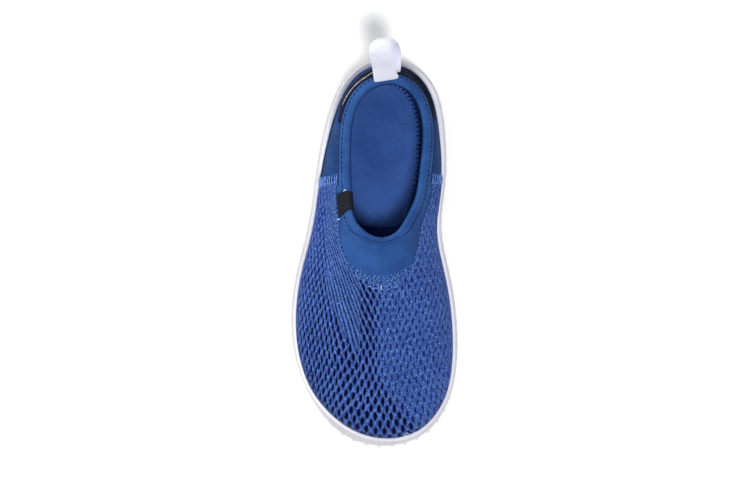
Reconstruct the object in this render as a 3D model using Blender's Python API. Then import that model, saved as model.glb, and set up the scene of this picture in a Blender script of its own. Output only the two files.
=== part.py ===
"""Child's slip-on water shoe for the right foot, about EU 28, standing empty on its sole.

The toe points along -Y, the medial side is +X and +Z is up. Stations are distances from the back
of the sole towards the toe. The upper is a family of rails: each rail climbs from the sole to the
collar, and its girth position runs from -1 (toe, round the lateral side) through 0 (heel) to
1 (toe, round the medial side). Tables are in millimetres and degrees.
"""

import math

import bmesh
import bpy
import numpy as np
from mathutils import Matrix, Vector

MM = 0.001

# Frame: where the shoe's long axis and the back of its sole lie
AXIS_X = 6.0
HEEL_Y = 91.87

# Driving sizes
SOLE_LENGTH = 188.0
GAP = 0.3
FACET = 0.2
WALL = 2.5
RIM_WALL = 3.0
RIM_CREST = 0.9
MESH_THICKNESS = 1.2
INSOLE_THICKNESS = 3.8

# Sole
LUG_HEIGHT = 2.0
PLATE_HEEL = 6.0
PLATE_BALL = 4.6
LIP_RISE = 5.6
LIP_RISE_TOE = 8.0
LIP_WIDTH = 1.6
LIP_WIDTH_HEEL = 2.5
FLARE = {"lateral": 1.0, "medial": 0.6}
FLARE_TOE = {"lateral": 3.6, "medial": 1.9}
STEP_HEIGHT = 4.2
STEP_DEPTH = 0.5
TOE_SPRING = 8.5
TOE_SPRING_FROM = 142.0
TOE_SPRING_POWER = 1.8
HEEL_BEVEL = 1.6
HEEL_BEVEL_TO = 13.0
ARCH_RISE = 1.2
ARCH_FROM = 52.0
ARCH_TO = 104.0
TOE_ZONE_FROM = 158.0

# Outline of the sole: a row for each section, half widths from the long axis
SOLE_ROWS = [
    {"station": 5.0, "lateral": 15.0, "medial": 15.8},
    {"station": 16.5, "lateral": 24.0, "medial": 24.4},
    {"station": 36.0, "lateral": 30.6, "medial": 28.4},
    {"station": 60.0, "lateral": 34.8, "medial": 28.6},
    {"station": 83.0, "lateral": 38.2, "medial": 26.6},
    {"station": 106.0, "lateral": 44.0, "medial": 30.8},
    {"station": 127.0, "lateral": 46.4, "medial": 33.9},
    {"station": 146.0, "lateral": 44.6, "medial": 34.2},
    {"station": 161.5, "lateral": 39.0, "medial": 31.8},
    {"station": 173.5, "lateral": 31.2, "medial": 26.6},
    {"station": 182.0, "lateral": 22.0, "medial": 18.8},
]

# Crest line of the collar seen from above, and its height at stations of its own
COLLAR_HEEL = {"station": 12.6, "x": 2.4}
COLLAR_FRONT = {"station": 88.4, "x": -0.4}
COLLAR_ROWS = [
    {"station": 17.0, "lateral": 8.7, "medial": 14.2},
    {"station": 26.0, "lateral": 15.2, "medial": 19.6},
    {"station": 37.0, "lateral": 17.7, "medial": 21.2},
    {"station": 49.0, "lateral": 18.2, "medial": 20.3},
    {"station": 61.0, "lateral": 17.9, "medial": 18.7},
    {"station": 70.0, "lateral": 17.5, "medial": 16.9},
    {"station": 78.0, "lateral": 15.6, "medial": 13.0},
    {"station": 84.5, "lateral": 10.4, "medial": 8.6},
]
COLLAR_HEIGHT = [
    {"station": 12.6, "height": 58.0},
    {"station": 28.0, "height": 53.0},
    {"station": 46.0, "height": 46.5},
    {"station": 60.0, "height": 46.0},
    {"station": 76.0, "height": 51.5},
    {"station": 88.4, "height": 57.0},
]

# Where along the collar each rail of the girth ends, as a share of the half loop
RAIL_ENDS = [
    {"girth": 0.0, "collar": 0.0},
    {"girth": 0.10, "collar": 0.16},
    {"girth": 0.20, "collar": 0.35},
    {"girth": 0.32, "collar": 0.59},
    {"girth": 0.43, "collar": 0.73},
    {"girth": 0.62, "collar": 0.85},
    {"girth": 0.82, "collar": 0.935},
    {"girth": 1.0, "collar": 1.0},
]

# Shape of each rail: rise and bulge of the wall off the sole, slope and reach down from the collar
RAIL_SHAPE = [
    {"girth": 0.0, "rise": 20.0, "lateral": -0.8, "medial": -0.8, "slope": 66.0, "reach": 17.0},
    {"girth": 0.12, "rise": 17.0, "lateral": -1.2, "medial": 0.7, "slope": 60.0, "reach": 15.0},
    {"girth": 0.26, "rise": 15.0, "lateral": -0.8, "medial": 1.3, "slope": 56.0, "reach": 13.0},
    {"girth": 0.40, "rise": 15.0, "lateral": 1.0, "medial": 3.0, "slope": 50.0, "reach": 15.0},
    {"girth": 0.55, "rise": 16.0, "lateral": 1.6, "medial": 4.2, "slope": 36.0, "reach": 27.0},
    {"girth": 0.72, "rise": 15.0, "lateral": 1.6, "medial": 3.8, "slope": 25.0, "reach": 44.0},
    {"girth": 0.88, "rise": 12.5, "lateral": 0.8, "medial": 1.4, "slope": 20.0, "reach": 58.0},
    {"girth": 1.0, "rise": 11.5, "lateral": 0.2, "medial": 0.2, "slope": 18.5, "reach": 62.0},
]
RAIL_START = 0.4
RAIL_SAMPLES = 60

# Seam between the open mesh of the forefoot and the ribbed knit: distance down from the collar
MESH_GIRTH = 0.325
SEAM_DEPTH = [
    {"girth": 0.0, "depth": 10.0},
    {"girth": 0.32, "depth": 8.6},
    {"girth": 0.45, "depth": 8.8},
    {"girth": 0.62, "depth": 13.5},
    {"girth": 0.80, "depth": 19.0},
    {"girth": 1.0, "depth": 21.0},
]
SEAM_STEP = 0.7
BAND_DEPTH = 6.0

# Dark counter patch round the heel, between these distances down from the collar
PATCH_GIRTH = 0.19
PATCH_TOP = [
    {"girth": 0.0, "depth": 9.6},
    {"girth": 0.04, "depth": 9.6},
    {"girth": 0.07, "depth": 6.8},
    {"girth": 0.19, "depth": 6.8},
]
PATCH_THICKNESS = 0.6
PATCH_FOOT = [
    {"girth": 0.0, "depth": 22.0},
    {"girth": 0.06, "depth": 17.5},
    {"girth": 0.12, "depth": 13.0},
    {"girth": 0.19, "depth": 9.4},
]

# Pull loop of webbing behind the heel
LOOP_WIDTH = 11.0
LOOP_THICKNESS = 1.2
LOOP_CLEAR = 0.32
LOOP_FRONT_FOOT = [{"across": 0.85, "x": 1.9}, {"across": 0.1, "x": 1.8}]
LOOP_ROWS = [
    {"station": 8.4, "height": 66.0, "x": 1.0},
    {"station": 4.4, "height": 72.2, "x": 0.3},
    {"station": 0.8, "height": 75.6, "x": -0.1},
    {"station": -2.6, "height": 76.0, "x": 0.4},
    {"station": -4.4, "height": 73.0, "x": 1.3},
    {"station": -3.4, "height": 66.4, "x": 2.6},
    {"station": 0.9, "height": 59.4, "x": 3.2},
]
LOOP_BACK_FOOT = [{"depth": 6.4, "x": 2.6}, {"depth": 8.6, "x": 2.4}]

# Folded label over the lateral rim of the collar
TAG_FROM = 0.665
TAG_TO = 0.77
TAG_THICKNESS = 0.5
TAG_CLEAR = 0.2
TAG_OUTSIDE = [6.4, 4.5, 2.4, 0.4]
TAG_INSIDE = [0.4, 2.5, 5.0, 7.0]

# Tread: hexagonal pads, and a row of small studs round the edge
PAD_PITCH = 12.9
PAD_RADIUS = 5.5
PAD_EDGE = 8.4
HEEL_PAD = {"station": 30.0, "x": -1.2}
HEEL_PAD_RADIUS = 8.0
PAD_ROOT = 1.5
STUD_PITCH = 6.2
STUD_RADIUS = 1.7
STUD_OUT = 0.25
STUD_OUT_TOE = 0.8
STUD_RISE = 3.2
STUD_DROP = 1.3

# Facets
SOLE_SECTIONS = 30
CURVE_SAMPLES = 16
UPPER_HALF_RAILS = 32
WALL_ROWS = (0.28, 0.52, 0.70, 0.82, 0.92, 1.0)
RAIL_CROWDING = 0.45
SEAM_GIRTH = 0.0016


def smooth(rows, key, value, at):
    """The table's value at each place, on monotone cubics that are level at both ends."""
    x = np.array([row[key] for row in rows], float)
    y = np.array([row[value] for row in rows], float)
    step = np.diff(x)
    rate = np.diff(y) / step
    slope = np.zeros(len(x))
    for i in range(1, len(x) - 1):
        if rate[i - 1] * rate[i] > 0:
            before, after = step[i - 1], step[i]
            total = 3 * (before + after)
            share = (before + 2 * after) / total
            slope[i] = rate[i - 1] * rate[i] / (share * rate[i] + (1 - share) * rate[i - 1])
    at = np.clip(np.asarray(at, float), x[0], x[-1])
    i = np.clip(np.searchsorted(x, at) - 1, 0, len(x) - 2)
    t = (at - x[i]) / step[i]
    return (
        y[i] * (1 + 2 * t) * (1 - t) ** 2
        + slope[i] * step[i] * t * (1 - t) ** 2
        + y[i + 1] * t**2 * (3 - 2 * t)
        + slope[i + 1] * step[i] * t**2 * (t - 1)
    )


def ease(x):
    """0 to 1, level at both ends."""
    x = np.clip(x, 0.0, 1.0)
    return x * x * (3 - 2 * x)


def closed_spline(points):
    """Samples of the smooth closed curve through the points: a periodic cubic, spaced by chord."""
    points = np.array(points, float)
    count = len(points)
    following = np.roll(points, -1, axis=0)
    chord = np.linalg.norm(following - points, axis=1)
    system = np.zeros((count, count))
    right = np.zeros_like(points)
    for i in range(count):
        before, after = chord[i - 1], chord[i]
        system[i, i - 1] += after
        system[i, i] += 2 * (before + after)
        system[i, (i + 1) % count] += before
        right[i] = 3 * (
            after * (points[i] - points[i - 1]) / before + before * (following[i] - points[i]) / after
        )
    tangent = np.linalg.solve(system, right)
    t = np.linspace(0, 1, CURVE_SAMPLES, endpoint=False)[:, None]
    spans = []
    for i in range(count):
        ahead = tangent[(i + 1) % count]
        spans.append(
            points[i] * (1 + 2 * t) * (1 - t) ** 2
            + chord[i] * tangent[i] * t * (1 - t) ** 2
            + following[i] * t**2 * (3 - 2 * t)
            + chord[i] * ahead * t**2 * (t - 1)
        )
    return np.concatenate(spans)


def loop_of(rows, back, front):
    """Closed curve of (x, station) from the back point, up the lateral side and down the medial."""
    lateral = [(-row["lateral"], row["station"]) for row in rows]
    medial = [(row["medial"], row["station"]) for row in reversed(rows)]
    return closed_spline([back, *lateral, front, *medial])


def inset(curve, distance):
    """The curve moved inwards by a distance, one number or one for each sample."""
    along = np.roll(curve, -1, axis=0) - np.roll(curve, 1, axis=0)
    along /= np.linalg.norm(along, axis=1)[:, None]
    inward = np.stack([along[:, 1], -along[:, 0]], axis=1)
    return curve + inward * np.broadcast_to(distance, len(curve))[:, None]


def halves(curve):
    """The lateral and the medial half of a closed curve, each from its back to its front."""
    back, front = np.argmin(curve[:, 1]), np.argmax(curve[:, 1])
    rolled = np.roll(curve, -back, axis=0)
    turn = (front - back) % len(curve)
    lateral = rolled[: turn + 1]
    medial = np.concatenate([rolled[:1], rolled[turn:][::-1]])
    return lateral, medial


def along_path(path, share):
    """Points at shares of a path's length."""
    length = np.concatenate([[0], np.cumsum(np.linalg.norm(np.diff(path, axis=0), axis=1))])
    at = np.asarray(share) * length[-1]
    return np.stack([np.interp(at, length, column) for column in path.T], axis=-1)


SOLE_CURVE = loop_of(SOLE_ROWS, (0.0, 0.0), (0.0, SOLE_LENGTH))
COLLAR_CURVE = loop_of(
    COLLAR_ROWS,
    (COLLAR_HEEL["x"], COLLAR_HEEL["station"]),
    (COLLAR_FRONT["x"], COLLAR_FRONT["station"]),
)


def toe_share(station):
    """0 along the sole, rising to 1 at the tip of the toe."""
    return ease((np.asarray(station) - TOE_ZONE_FROM) / (SOLE_LENGTH - TOE_ZONE_FROM))


def underside(station):
    """Height of the sole's underside between the lugs."""
    station = np.asarray(station, float)
    toe = np.clip((station - TOE_SPRING_FROM) / (SOLE_LENGTH - TOE_SPRING_FROM), 0, 1.1)
    heel = np.clip(1 - station / HEEL_BEVEL_TO, 0, 1)
    arch = np.clip((station - ARCH_FROM) / (ARCH_TO - ARCH_FROM), 0, 1)
    return (
        LUG_HEIGHT
        + TOE_SPRING * toe**TOE_SPRING_POWER
        + HEEL_BEVEL * heel**2
        + ARCH_RISE * np.sin(math.pi * arch) ** 2
    )


def floor(station):
    """Height of the floor inside the sole's rim."""
    plate = PLATE_HEEL + (PLATE_BALL - PLATE_HEEL) * ease((np.asarray(station) - 40.0) / 80.0)
    return underside(station) + plate


def lip_rise(station):
    """Height of the sole's rim over its floor."""
    return LIP_RISE + (LIP_RISE_TOE - LIP_RISE) * toe_share(station)


def flare(curve):
    """How far the foot of the sole's side stands out past its lip, along a curve round the sole."""
    medial = ease((curve[:, 0] + 28.0) / 56.0)
    side = FLARE["lateral"] + (FLARE["medial"] - FLARE["lateral"]) * medial
    toe = FLARE_TOE["lateral"] + (FLARE_TOE["medial"] - FLARE_TOE["lateral"]) * medial
    return side + (toe - side) * toe_share(curve[:, 1])


def lip_width(curve):
    """Width of the sole's lip along a curve round the sole: wider round the heel."""
    heel = 1 - ease((curve[:, 1] - 20.0) / 40.0)
    return LIP_WIDTH + (LIP_WIDTH_HEEL - LIP_WIDTH) * heel


def cup_inset(curve):
    """Inset of the upper's outer face from the sole's outline."""
    return flare(curve) + lip_width(curve) + GAP + FACET


def place(x, station, height):
    """Points of the shoe's own sizes, in the part's frame and in metres."""
    x, station, height = np.broadcast_arrays(x, station, height)
    return np.stack([x + AXIS_X, HEEL_Y - station, height], axis=-1) * MM


# The upper's rails

UPPER_CURVE = inset(SOLE_CURVE, cup_inset(SOLE_CURVE))
UPPER_SIDES = halves(UPPER_CURVE)
COLLAR_SIDES = halves(COLLAR_CURVE)


def rail(girth):
    """The line of the upper's outer face at a girth position, from the collar down to the sole."""
    share = abs(girth)
    side = 0 if girth < 0 else 1
    foot = along_path(UPPER_SIDES[side], share)
    top = along_path(COLLAR_SIDES[side], smooth(RAIL_ENDS, "girth", "collar", share))
    low = np.array([foot[0], foot[1], floor(foot[1]) + lip_rise(foot[1]) + RAIL_START])
    high = np.array([top[0], top[1], smooth(COLLAR_HEIGHT, "station", "height", top[1])])
    inward = high - low
    inward[2] = 0
    inward /= np.linalg.norm(inward)
    up = np.array([0.0, 0.0, 1.0])
    bulge = smooth(RAIL_SHAPE, "girth", ("lateral", "medial")[side], share)
    rise, slope, reach = (
        smooth(RAIL_SHAPE, "girth", name, share) for name in ("rise", "slope", "reach")
    )
    lean = math.radians(slope)
    handle_low = low + up * rise - inward * bulge
    handle_high = high - (inward * math.cos(lean) + up * math.sin(lean)) * reach
    t = np.linspace(1, 0, RAIL_SAMPLES)[:, None]
    bend = (
        low * (1 - t) ** 3
        + 3 * handle_low * t * (1 - t) ** 2
        + 3 * handle_high * t**2 * (1 - t)
        + high * t**3
    )
    bottom = np.array([foot[0], foot[1], floor(foot[1]) + GAP])
    return np.vstack([bend, bottom])


def surface(girths, depths_of, wraps=False):
    """Points and outward normals of the upper's outer face.

    depths_of gives a rail's distances down from the collar, for its girth position and length.
    """
    columns = []
    for girth in girths:
        line = rail(girth)
        length = np.concatenate([[0], np.cumsum(np.linalg.norm(np.diff(line, axis=0), axis=1))])
        depths = depths_of(abs(girth), length[-1], length[-2])
        columns.append(np.stack([np.interp(depths, length, axis) for axis in line.T], axis=-1))
    points = np.stack(columns, axis=1)
    down = np.gradient(points, axis=0)
    if wraps:
        around = np.roll(points, -1, axis=1) - np.roll(points, 1, axis=1)
    else:
        around = np.gradient(points, axis=1)
    normals = np.cross(down, around)
    normals /= np.linalg.norm(normals, axis=2)[:, :, None]
    return points, normals


def seam_depth(girth):
    return smooth(SEAM_DEPTH, "girth", "depth", girth)


def placed(points):
    return place(points[..., 0], points[..., 1], points[..., 2])


# Mesh building


def mesh_object(name, verts, faces, material, collection, smooth_angle=40.0):
    mesh = bpy.data.meshes.new(name)
    mesh.from_pydata([tuple(v) for v in verts], [], faces)
    build = bmesh.new()
    build.from_mesh(mesh)
    bmesh.ops.recalc_face_normals(build, faces=build.faces)
    build.to_mesh(mesh)
    build.free()
    mesh.materials.append(material)
    mesh.shade_smooth()
    mesh.set_sharp_from_angle(angle=math.radians(smooth_angle))
    obj = bpy.data.objects.new(name, mesh)
    collection.objects.link(obj)
    return obj


def shell(name, outer, inner, wraps, material, collection):
    """A wall between two grids of points, rows by columns, closed along its edges.

    Both grids are cut along the same diagonals, so walls that follow each other stay parallel.
    """
    rows, columns = outer.shape[:2]
    verts = np.concatenate([outer.reshape(-1, 3), inner.reshape(-1, 3)])
    base = rows * columns
    faces = []

    def edge(a, b):
        faces.append((a, b, b + base, a + base))

    spans = columns if wraps else columns - 1
    for c in range(spans):
        after = (c + 1) % columns
        for r in range(rows - 1):
            near, far = r * columns + c, (r + 1) * columns + after
            for corner in (near - c + after, far - after + c):
                faces.append((near, corner, far))
                faces.append((base + near, base + corner, base + far))
        edge(c, after)
        edge((rows - 1) * columns + after, (rows - 1) * columns + c)
    if not wraps:
        for r in range(rows - 1):
            edge((r + 1) * columns, r * columns)
            edge(r * columns + columns - 1, (r + 1) * columns + columns - 1)
    return mesh_object(name, verts, faces, material, collection)


def section_ring(distance, height_of, sections=SOLE_SECTIONS):
    """A ring round the sole at an inset, its lateral and medial points paired by station."""
    curve = inset(SOLE_CURVE, distance(SOLE_CURVE))
    lateral, medial = halves(curve)
    first, last = lateral[0, 1], lateral[-1, 1]
    share = (1 - np.cos(np.linspace(0, math.pi, sections + 1))) / 2
    station = first + (last - first) * share
    left = place(np.interp(station, lateral[:, 1], lateral[:, 0]), station, height_of(station))
    right = place(np.interp(station, medial[:, 1], medial[:, 0]), station, height_of(station))
    return np.concatenate([left, right[-2:0:-1]])


def stacked(name, rings, material, collection):
    """A closed solid through a stack of rings, capped by strips between paired points."""
    size = len(rings[0])
    half = size // 2
    faces = []
    for level in range(len(rings) - 1):
        low, high = level * size, (level + 1) * size
        for i in range(size):
            after = (i + 1) % size
            faces.append((low + i, low + after, high + after, high + i))
    for start in (0, (len(rings) - 1) * size):
        for i in range(half):
            strip = [i, i + 1, (size - i - 1) % size, (size - i) % size]
            faces.append(tuple(start + j for j in dict.fromkeys(strip)))
    return mesh_object(name, np.concatenate(rings), faces, material, collection)


def prism(build, centre, radius, low, high, sides, turn=0.0):
    """Adds an upright prism to a bmesh."""
    made = bmesh.ops.create_cone(
        build, cap_ends=True, segments=sides, radius1=radius, radius2=radius, depth=high - low
    )
    spin = Matrix.Rotation(turn, 3, "Z")
    bmesh.ops.rotate(build, verts=made["verts"], cent=(0, 0, 0), matrix=spin)
    offset = Vector((centre[0], centre[1], (low + high) / 2))
    bmesh.ops.translate(build, verts=made["verts"], vec=offset)


# Materials


def material(name, colour, roughness, metallic=0.0):
    made = bpy.data.materials.new(name)
    made.use_nodes = True
    shader = made.node_tree.nodes["Principled BSDF"]
    shader.inputs["Base Color"].default_value = (*colour, 1.0)
    shader.inputs["Roughness"].default_value = roughness
    shader.inputs["Metallic"].default_value = metallic
    return made


# The pieces


def make_outsole(rubber, parts, helpers):
    """Moulded rubber sole: a cup with a stepped side, a lip, tread pads and edge studs."""

    def at(extra):
        return lambda curve: np.full(len(curve), extra)

    def on_lip(extra, widths=0):
        return lambda curve: flare(curve) + lip_width(curve) * widths + extra

    rings = [
        section_ring(at(1.6), underside),
        section_ring(at(0.0), lambda s: underside(s) + 1.4),
        section_ring(at(0.1), lambda s: underside(s) + STEP_HEIGHT - 0.4),
        section_ring(at(STEP_DEPTH), lambda s: underside(s) + STEP_HEIGHT),
        section_ring(on_lip(0.0), lambda s: floor(s) + lip_rise(s) - 0.5),
        section_ring(on_lip(0.4), lambda s: floor(s) + lip_rise(s)),
        section_ring(on_lip(-0.3, 1), lambda s: floor(s) + lip_rise(s)),
        section_ring(on_lip(0.0, 1), lambda s: floor(s) + lip_rise(s) - 0.4),
        section_ring(on_lip(0.0, 1), floor),
    ]
    sole = stacked("outsole", rings, rubber, parts)

    tread = bmesh.new()
    pad_area = inset(SOLE_CURVE, PAD_EDGE)
    for x, station, radius in pad_places(pad_area):
        base = float(underside(station))
        spot = place(x, station, 0.0)
        prism(tread, spot, radius * MM, (base - LUG_HEIGHT) * MM, (base + PAD_ROOT) * MM, 6)
    out = STUD_OUT + (STUD_OUT_TOE - STUD_OUT) * toe_share(SOLE_CURVE[:, 1])
    stud_line = inset(SOLE_CURVE, STUD_RADIUS - out)
    around = np.vstack([stud_line, stud_line[:1]])
    count = round(np.linalg.norm(np.diff(around, axis=0), axis=1).sum() / STUD_PITCH)
    share = np.arange(count) / count
    ahead = along_path(around, share + 0.002) - along_path(around, share)
    for (x, station), (right, up) in zip(along_path(around, share), ahead):
        base = float(underside(station))
        spot = place(x, station, 0.0)
        low, high = (base - STUD_DROP) * MM, (base + STUD_RISE) * MM
        prism(tread, spot, STUD_RADIUS * MM, low, high, 4, math.atan2(-up, right))
    mesh = bpy.data.meshes.new("tread")
    tread.to_mesh(mesh)
    tread.free()
    lugs = bpy.data.objects.new("tread", mesh)
    lugs.hide_render = True
    lugs.display_type = "WIRE"
    helpers.objects.link(lugs)
    joined = sole.modifiers.new("tread", "BOOLEAN")
    joined.operation = "UNION"
    joined.object = lugs


def pad_places(area):
    """The tread pads: the large heel pad, then a hexagonal grid inside the sole's outline."""
    lateral, medial = halves(area)
    places = [(HEEL_PAD["x"], HEEL_PAD["station"], HEEL_PAD_RADIUS)]
    row_step = PAD_PITCH * math.sqrt(3) / 2
    clear = HEEL_PAD_RADIUS + PAD_RADIUS + 1.2
    for row in range(-3, 19):
        station = HEEL_PAD["station"] + row * row_step
        if not lateral[0, 1] < station < lateral[-1, 1]:
            continue
        left = np.interp(station, lateral[:, 1], lateral[:, 0])
        right = np.interp(station, medial[:, 1], medial[:, 0])
        for column in range(-6, 7):
            x = HEEL_PAD["x"] + (column + 0.5 * (row % 2)) * PAD_PITCH
            far = math.hypot(x - HEEL_PAD["x"], station - HEEL_PAD["station"]) > clear
            if left < x < right and far:
                places.append((x, station, PAD_RADIUS))
    return places


def make_insole(foam, parts):
    """Loose foam footbed inside the foot of the upper."""

    def edge(extra):
        return lambda curve: cup_inset(curve) + WALL + 0.6 + extra

    def top(station):
        return floor(station) + GAP + INSOLE_THICKNESS

    rings = [
        section_ring(edge(0.4), lambda s: floor(s) + GAP, 26),
        section_ring(edge(0.0), lambda s: floor(s) + GAP + 0.5, 26),
        section_ring(edge(0.0), lambda s: top(s) - 0.9, 26),
        section_ring(edge(0.3), lambda s: top(s) - 0.25, 26),
        section_ring(edge(1.0), top, 26),
    ]
    stacked("insole", rings, foam, parts)


def half_girths():
    """Girth positions from heel to toe, closer at both ends, with those that other pieces end on."""
    share = np.linspace(0, 1, UPPER_HALF_RAILS + 1)
    girths = share - RAIL_CROWDING * np.sin(2 * math.pi * share) / (2 * math.pi)
    ends = [MESH_GIRTH - SEAM_GIRTH, MESH_GIRTH + SEAM_GIRTH, PATCH_GIRTH, *tag_girths()]
    for end in ends:
        girths = girths[np.abs(girths - end) > 0.3 / UPPER_HALF_RAILS]
    return np.sort([*girths, *ends])


def upper_girths():
    """Girth positions round the whole upper, from the toe round the lateral side."""
    half = half_girths()
    return np.concatenate([-half[-2::-1], half[1:]])


def upper_depths(girth, length, wall_foot):
    """Rows of the upper on one rail: rim, band, panel, both sides of the seam, wall and foot."""
    seam = seam_depth(girth)
    panel = [BAND_DEPTH + (seam - BAND_DEPTH) * share for share in (0.35, 0.7)]
    low = seam + SEAM_STEP
    wall = [low + (wall_foot - low) * share for share in WALL_ROWS]
    return np.array([0.0, 2.6, BAND_DEPTH, *panel, seam, low, *wall, length])


SEAM_LOW_ROW = 6


def make_upper(knit, parts):
    """One hollow wall: ribbed knit at the collar and heel, thin lining under the open mesh."""
    girths = upper_girths()
    points, normals = surface(girths, upper_depths, wraps=True)
    depth = np.zeros(points.shape[:2])
    under_mesh = np.abs(girths) > MESH_GIRTH
    depth[SEAM_LOW_ROW:, under_mesh] = MESH_THICKNESS + GAP
    outer = points - normals * depth[..., None]
    wall = np.full(len(points), WALL)
    wall[:3] = (RIM_WALL, RIM_WALL, (RIM_WALL + WALL) / 2)
    inner = points - normals * wall[:, None, None]
    outer = np.concatenate([rim_crest(points, normals, 0.28, RIM_CREST)[None], outer])
    inner = np.concatenate([rim_crest(points, normals, 0.72, RIM_CREST)[None], inner])
    shell("upper", placed(outer), placed(inner), True, knit, parts)


def rim_crest(points, normals, across, height):
    """A line over the rolled rim: a share of the way across it, and this far above its first row."""
    up = points[0] - points[1]
    up /= np.linalg.norm(up, axis=1)[:, None]
    return points[0] - normals[0] * RIM_WALL * across + up * height


def make_mesh_vamp(mesh_fabric, parts):
    """Thick open mesh laid over the lining, from one side seam round the toe to the other."""
    half = half_girths()
    half = np.array([MESH_GIRTH + 2.2 * SEAM_GIRTH, *half[half > MESH_GIRTH + 3 * SEAM_GIRTH]])
    girths = np.concatenate([half, -half[-2::-1]])

    def rows(extra):
        def depths(girth, length, wall_foot):
            top = seam_depth(girth)
            low = top + SEAM_STEP
            wall = [low + (wall_foot - low) * share for share in WALL_ROWS]
            return np.array([top + extra, *wall, length])

        return depths

    outside, outside_normals = surface(girths, rows(SEAM_STEP - 0.2))
    inside, inside_normals = surface(girths, rows(SEAM_STEP + 0.35))
    inner = inside - inside_normals * MESH_THICKNESS
    shell("mesh_vamp", placed(outside), placed(inner), False, mesh_fabric, parts)


def make_heel_patch(film, parts):
    """Smooth dark patch that wraps the heel below the collar band."""
    half = half_girths()
    half = half[half <= PATCH_GIRTH]
    girths = np.concatenate([-half[:0:-1], half])

    def depths(girth, length, wall_foot):
        top, foot = (smooth(rows, "girth", "depth", girth) for rows in (PATCH_TOP, PATCH_FOOT))
        return np.linspace(top, foot, 5)

    points, normals = surface(girths, depths)
    inner = points + normals * GAP
    outer = points + normals * (GAP + PATCH_THICKNESS)
    shell("heel_patch", placed(outer), placed(inner), False, film, parts)


def make_side_tag(label, parts):
    """Folded woven label over the lateral rim, one leg outside and one inside."""
    first, last = tag_girths()
    half = half_girths()
    girths = -half[(half >= first) & (half <= last)][::-1]

    def depths(girth, length, wall_foot):
        return np.array([0.0, 0.4, *sorted(set(TAG_OUTSIDE + TAG_INSIDE) - {0.4})])

    points, normals = surface(girths, depths)
    order = list(depths(0, 0, 0))

    def path(clear):
        outside = [points[order.index(d)] + normals[order.index(d)] * clear for d in TAG_OUTSIDE]
        over = [rim_crest(points, normals, share, RIM_CREST + clear) for share in (0.25, 0.75)]
        within = RIM_WALL + clear
        inside = [points[order.index(d)] - normals[order.index(d)] * within for d in TAG_INSIDE]
        return np.array(outside + over + inside)

    near = path(GAP + TAG_CLEAR)
    far = path(GAP + TAG_CLEAR + TAG_THICKNESS)
    shell("side_tag", placed(far), placed(near), False, label, parts)


def tag_girths():
    """The girth positions whose rails end at the label's two edges."""
    girth = np.linspace(0, 1, 400)
    collar = smooth(RAIL_ENDS, "girth", "collar", girth)
    return [float(np.interp(edge, collar, girth)) for edge in (TAG_FROM, TAG_TO)]


def make_pull_loop(webbing, parts):
    """Webbing loop: its front foot on the rim, its back foot on the heel below the band."""

    def depths(girth, length, wall_foot):
        return np.array([0.0, 2.6, *(foot["depth"] for foot in LOOP_BACK_FOOT)])

    points, normals = surface(np.array([-0.01, 0.0, 0.01]), depths)
    clear = GAP + LOOP_THICKNESS / 2 + LOOP_CLEAR

    path = []
    for foot in LOOP_FRONT_FOOT:
        spot = rim_crest(points, normals, foot["across"], RIM_CREST + clear)[1]
        path.append((spot[1], spot[2], foot["x"]))
    path += [(row["station"], row["height"], row["x"]) for row in LOOP_ROWS]
    for row, foot in enumerate(LOOP_BACK_FOOT, 2):
        spot = points[row, 1] + normals[row, 1] * clear
        path.append((spot[1], spot[2], foot["x"]))
    line = open_spline(path, 3)
    along = np.gradient(line[:, :2], axis=0)
    along /= np.linalg.norm(along, axis=1)[:, None]
    across = np.stack([-along[:, 1], along[:, 0]], axis=1)
    faces = []
    for side in (1, -1):
        edge = line[:, :2] + across * side * LOOP_THICKNESS / 2
        columns = [
            np.stack([line[:, 2] + x, edge[:, 0], edge[:, 1]], axis=1)
            for x in np.linspace(-LOOP_WIDTH / 2, LOOP_WIDTH / 2, 3)
        ]
        faces.append(placed(np.stack(columns, axis=1)))
    shell("pull_loop", faces[0], faces[1], False, webbing, parts)


def open_spline(points, per_span):
    """Samples of a smooth open curve through the points, its tangents weighted by chord."""
    points = np.array(points, float)
    chord = np.linalg.norm(np.diff(points, axis=0), axis=1)
    rate = np.diff(points, axis=0) / chord[:, None]
    before, after = chord[:-1, None], chord[1:, None]
    middle = (rate[:-1] * after + rate[1:] * before) / (before + after)
    tangent = np.vstack([rate[:1], middle, rate[-1:]])
    t = np.linspace(0, 1, per_span, endpoint=False)[:, None]
    spans = []
    for i, length in enumerate(chord):
        spans.append(
            points[i] * (1 + 2 * t) * (1 - t) ** 2
            + length * tangent[i] * t * (1 - t) ** 2
            + points[i + 1] * t**2 * (3 - 2 * t)
            + length * tangent[i + 1] * t**2 * (t - 1)
        )
    return np.vstack([*spans, points[-1:]])


def clear_scene():
    for obj in list(bpy.data.objects):
        bpy.data.objects.remove(obj)


def main():
    clear_scene()
    parts = bpy.data.collections.new("water_shoe")
    helpers = bpy.data.collections.new("helpers")
    bpy.context.scene.collection.children.link(parts)
    bpy.context.scene.collection.children.link(helpers)
    make_outsole(material("white_rubber", (0.80, 0.80, 0.84), 0.45), parts, helpers)
    make_insole(material("blue_footbed", (0.035, 0.085, 0.29), 0.8), parts)
    make_upper(material("blue_knit", (0.027, 0.091, 0.29), 0.85), parts)
    make_mesh_vamp(material("blue_mesh", (0.035, 0.082, 0.30), 0.8), parts)
    make_heel_patch(material("dark_film", (0.012, 0.014, 0.020), 0.5), parts)
    make_side_tag(material("black_label", (0.010, 0.010, 0.013), 0.7), parts)
    make_pull_loop(material("white_webbing", (0.79, 0.79, 0.90), 0.7), parts)


main()
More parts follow.
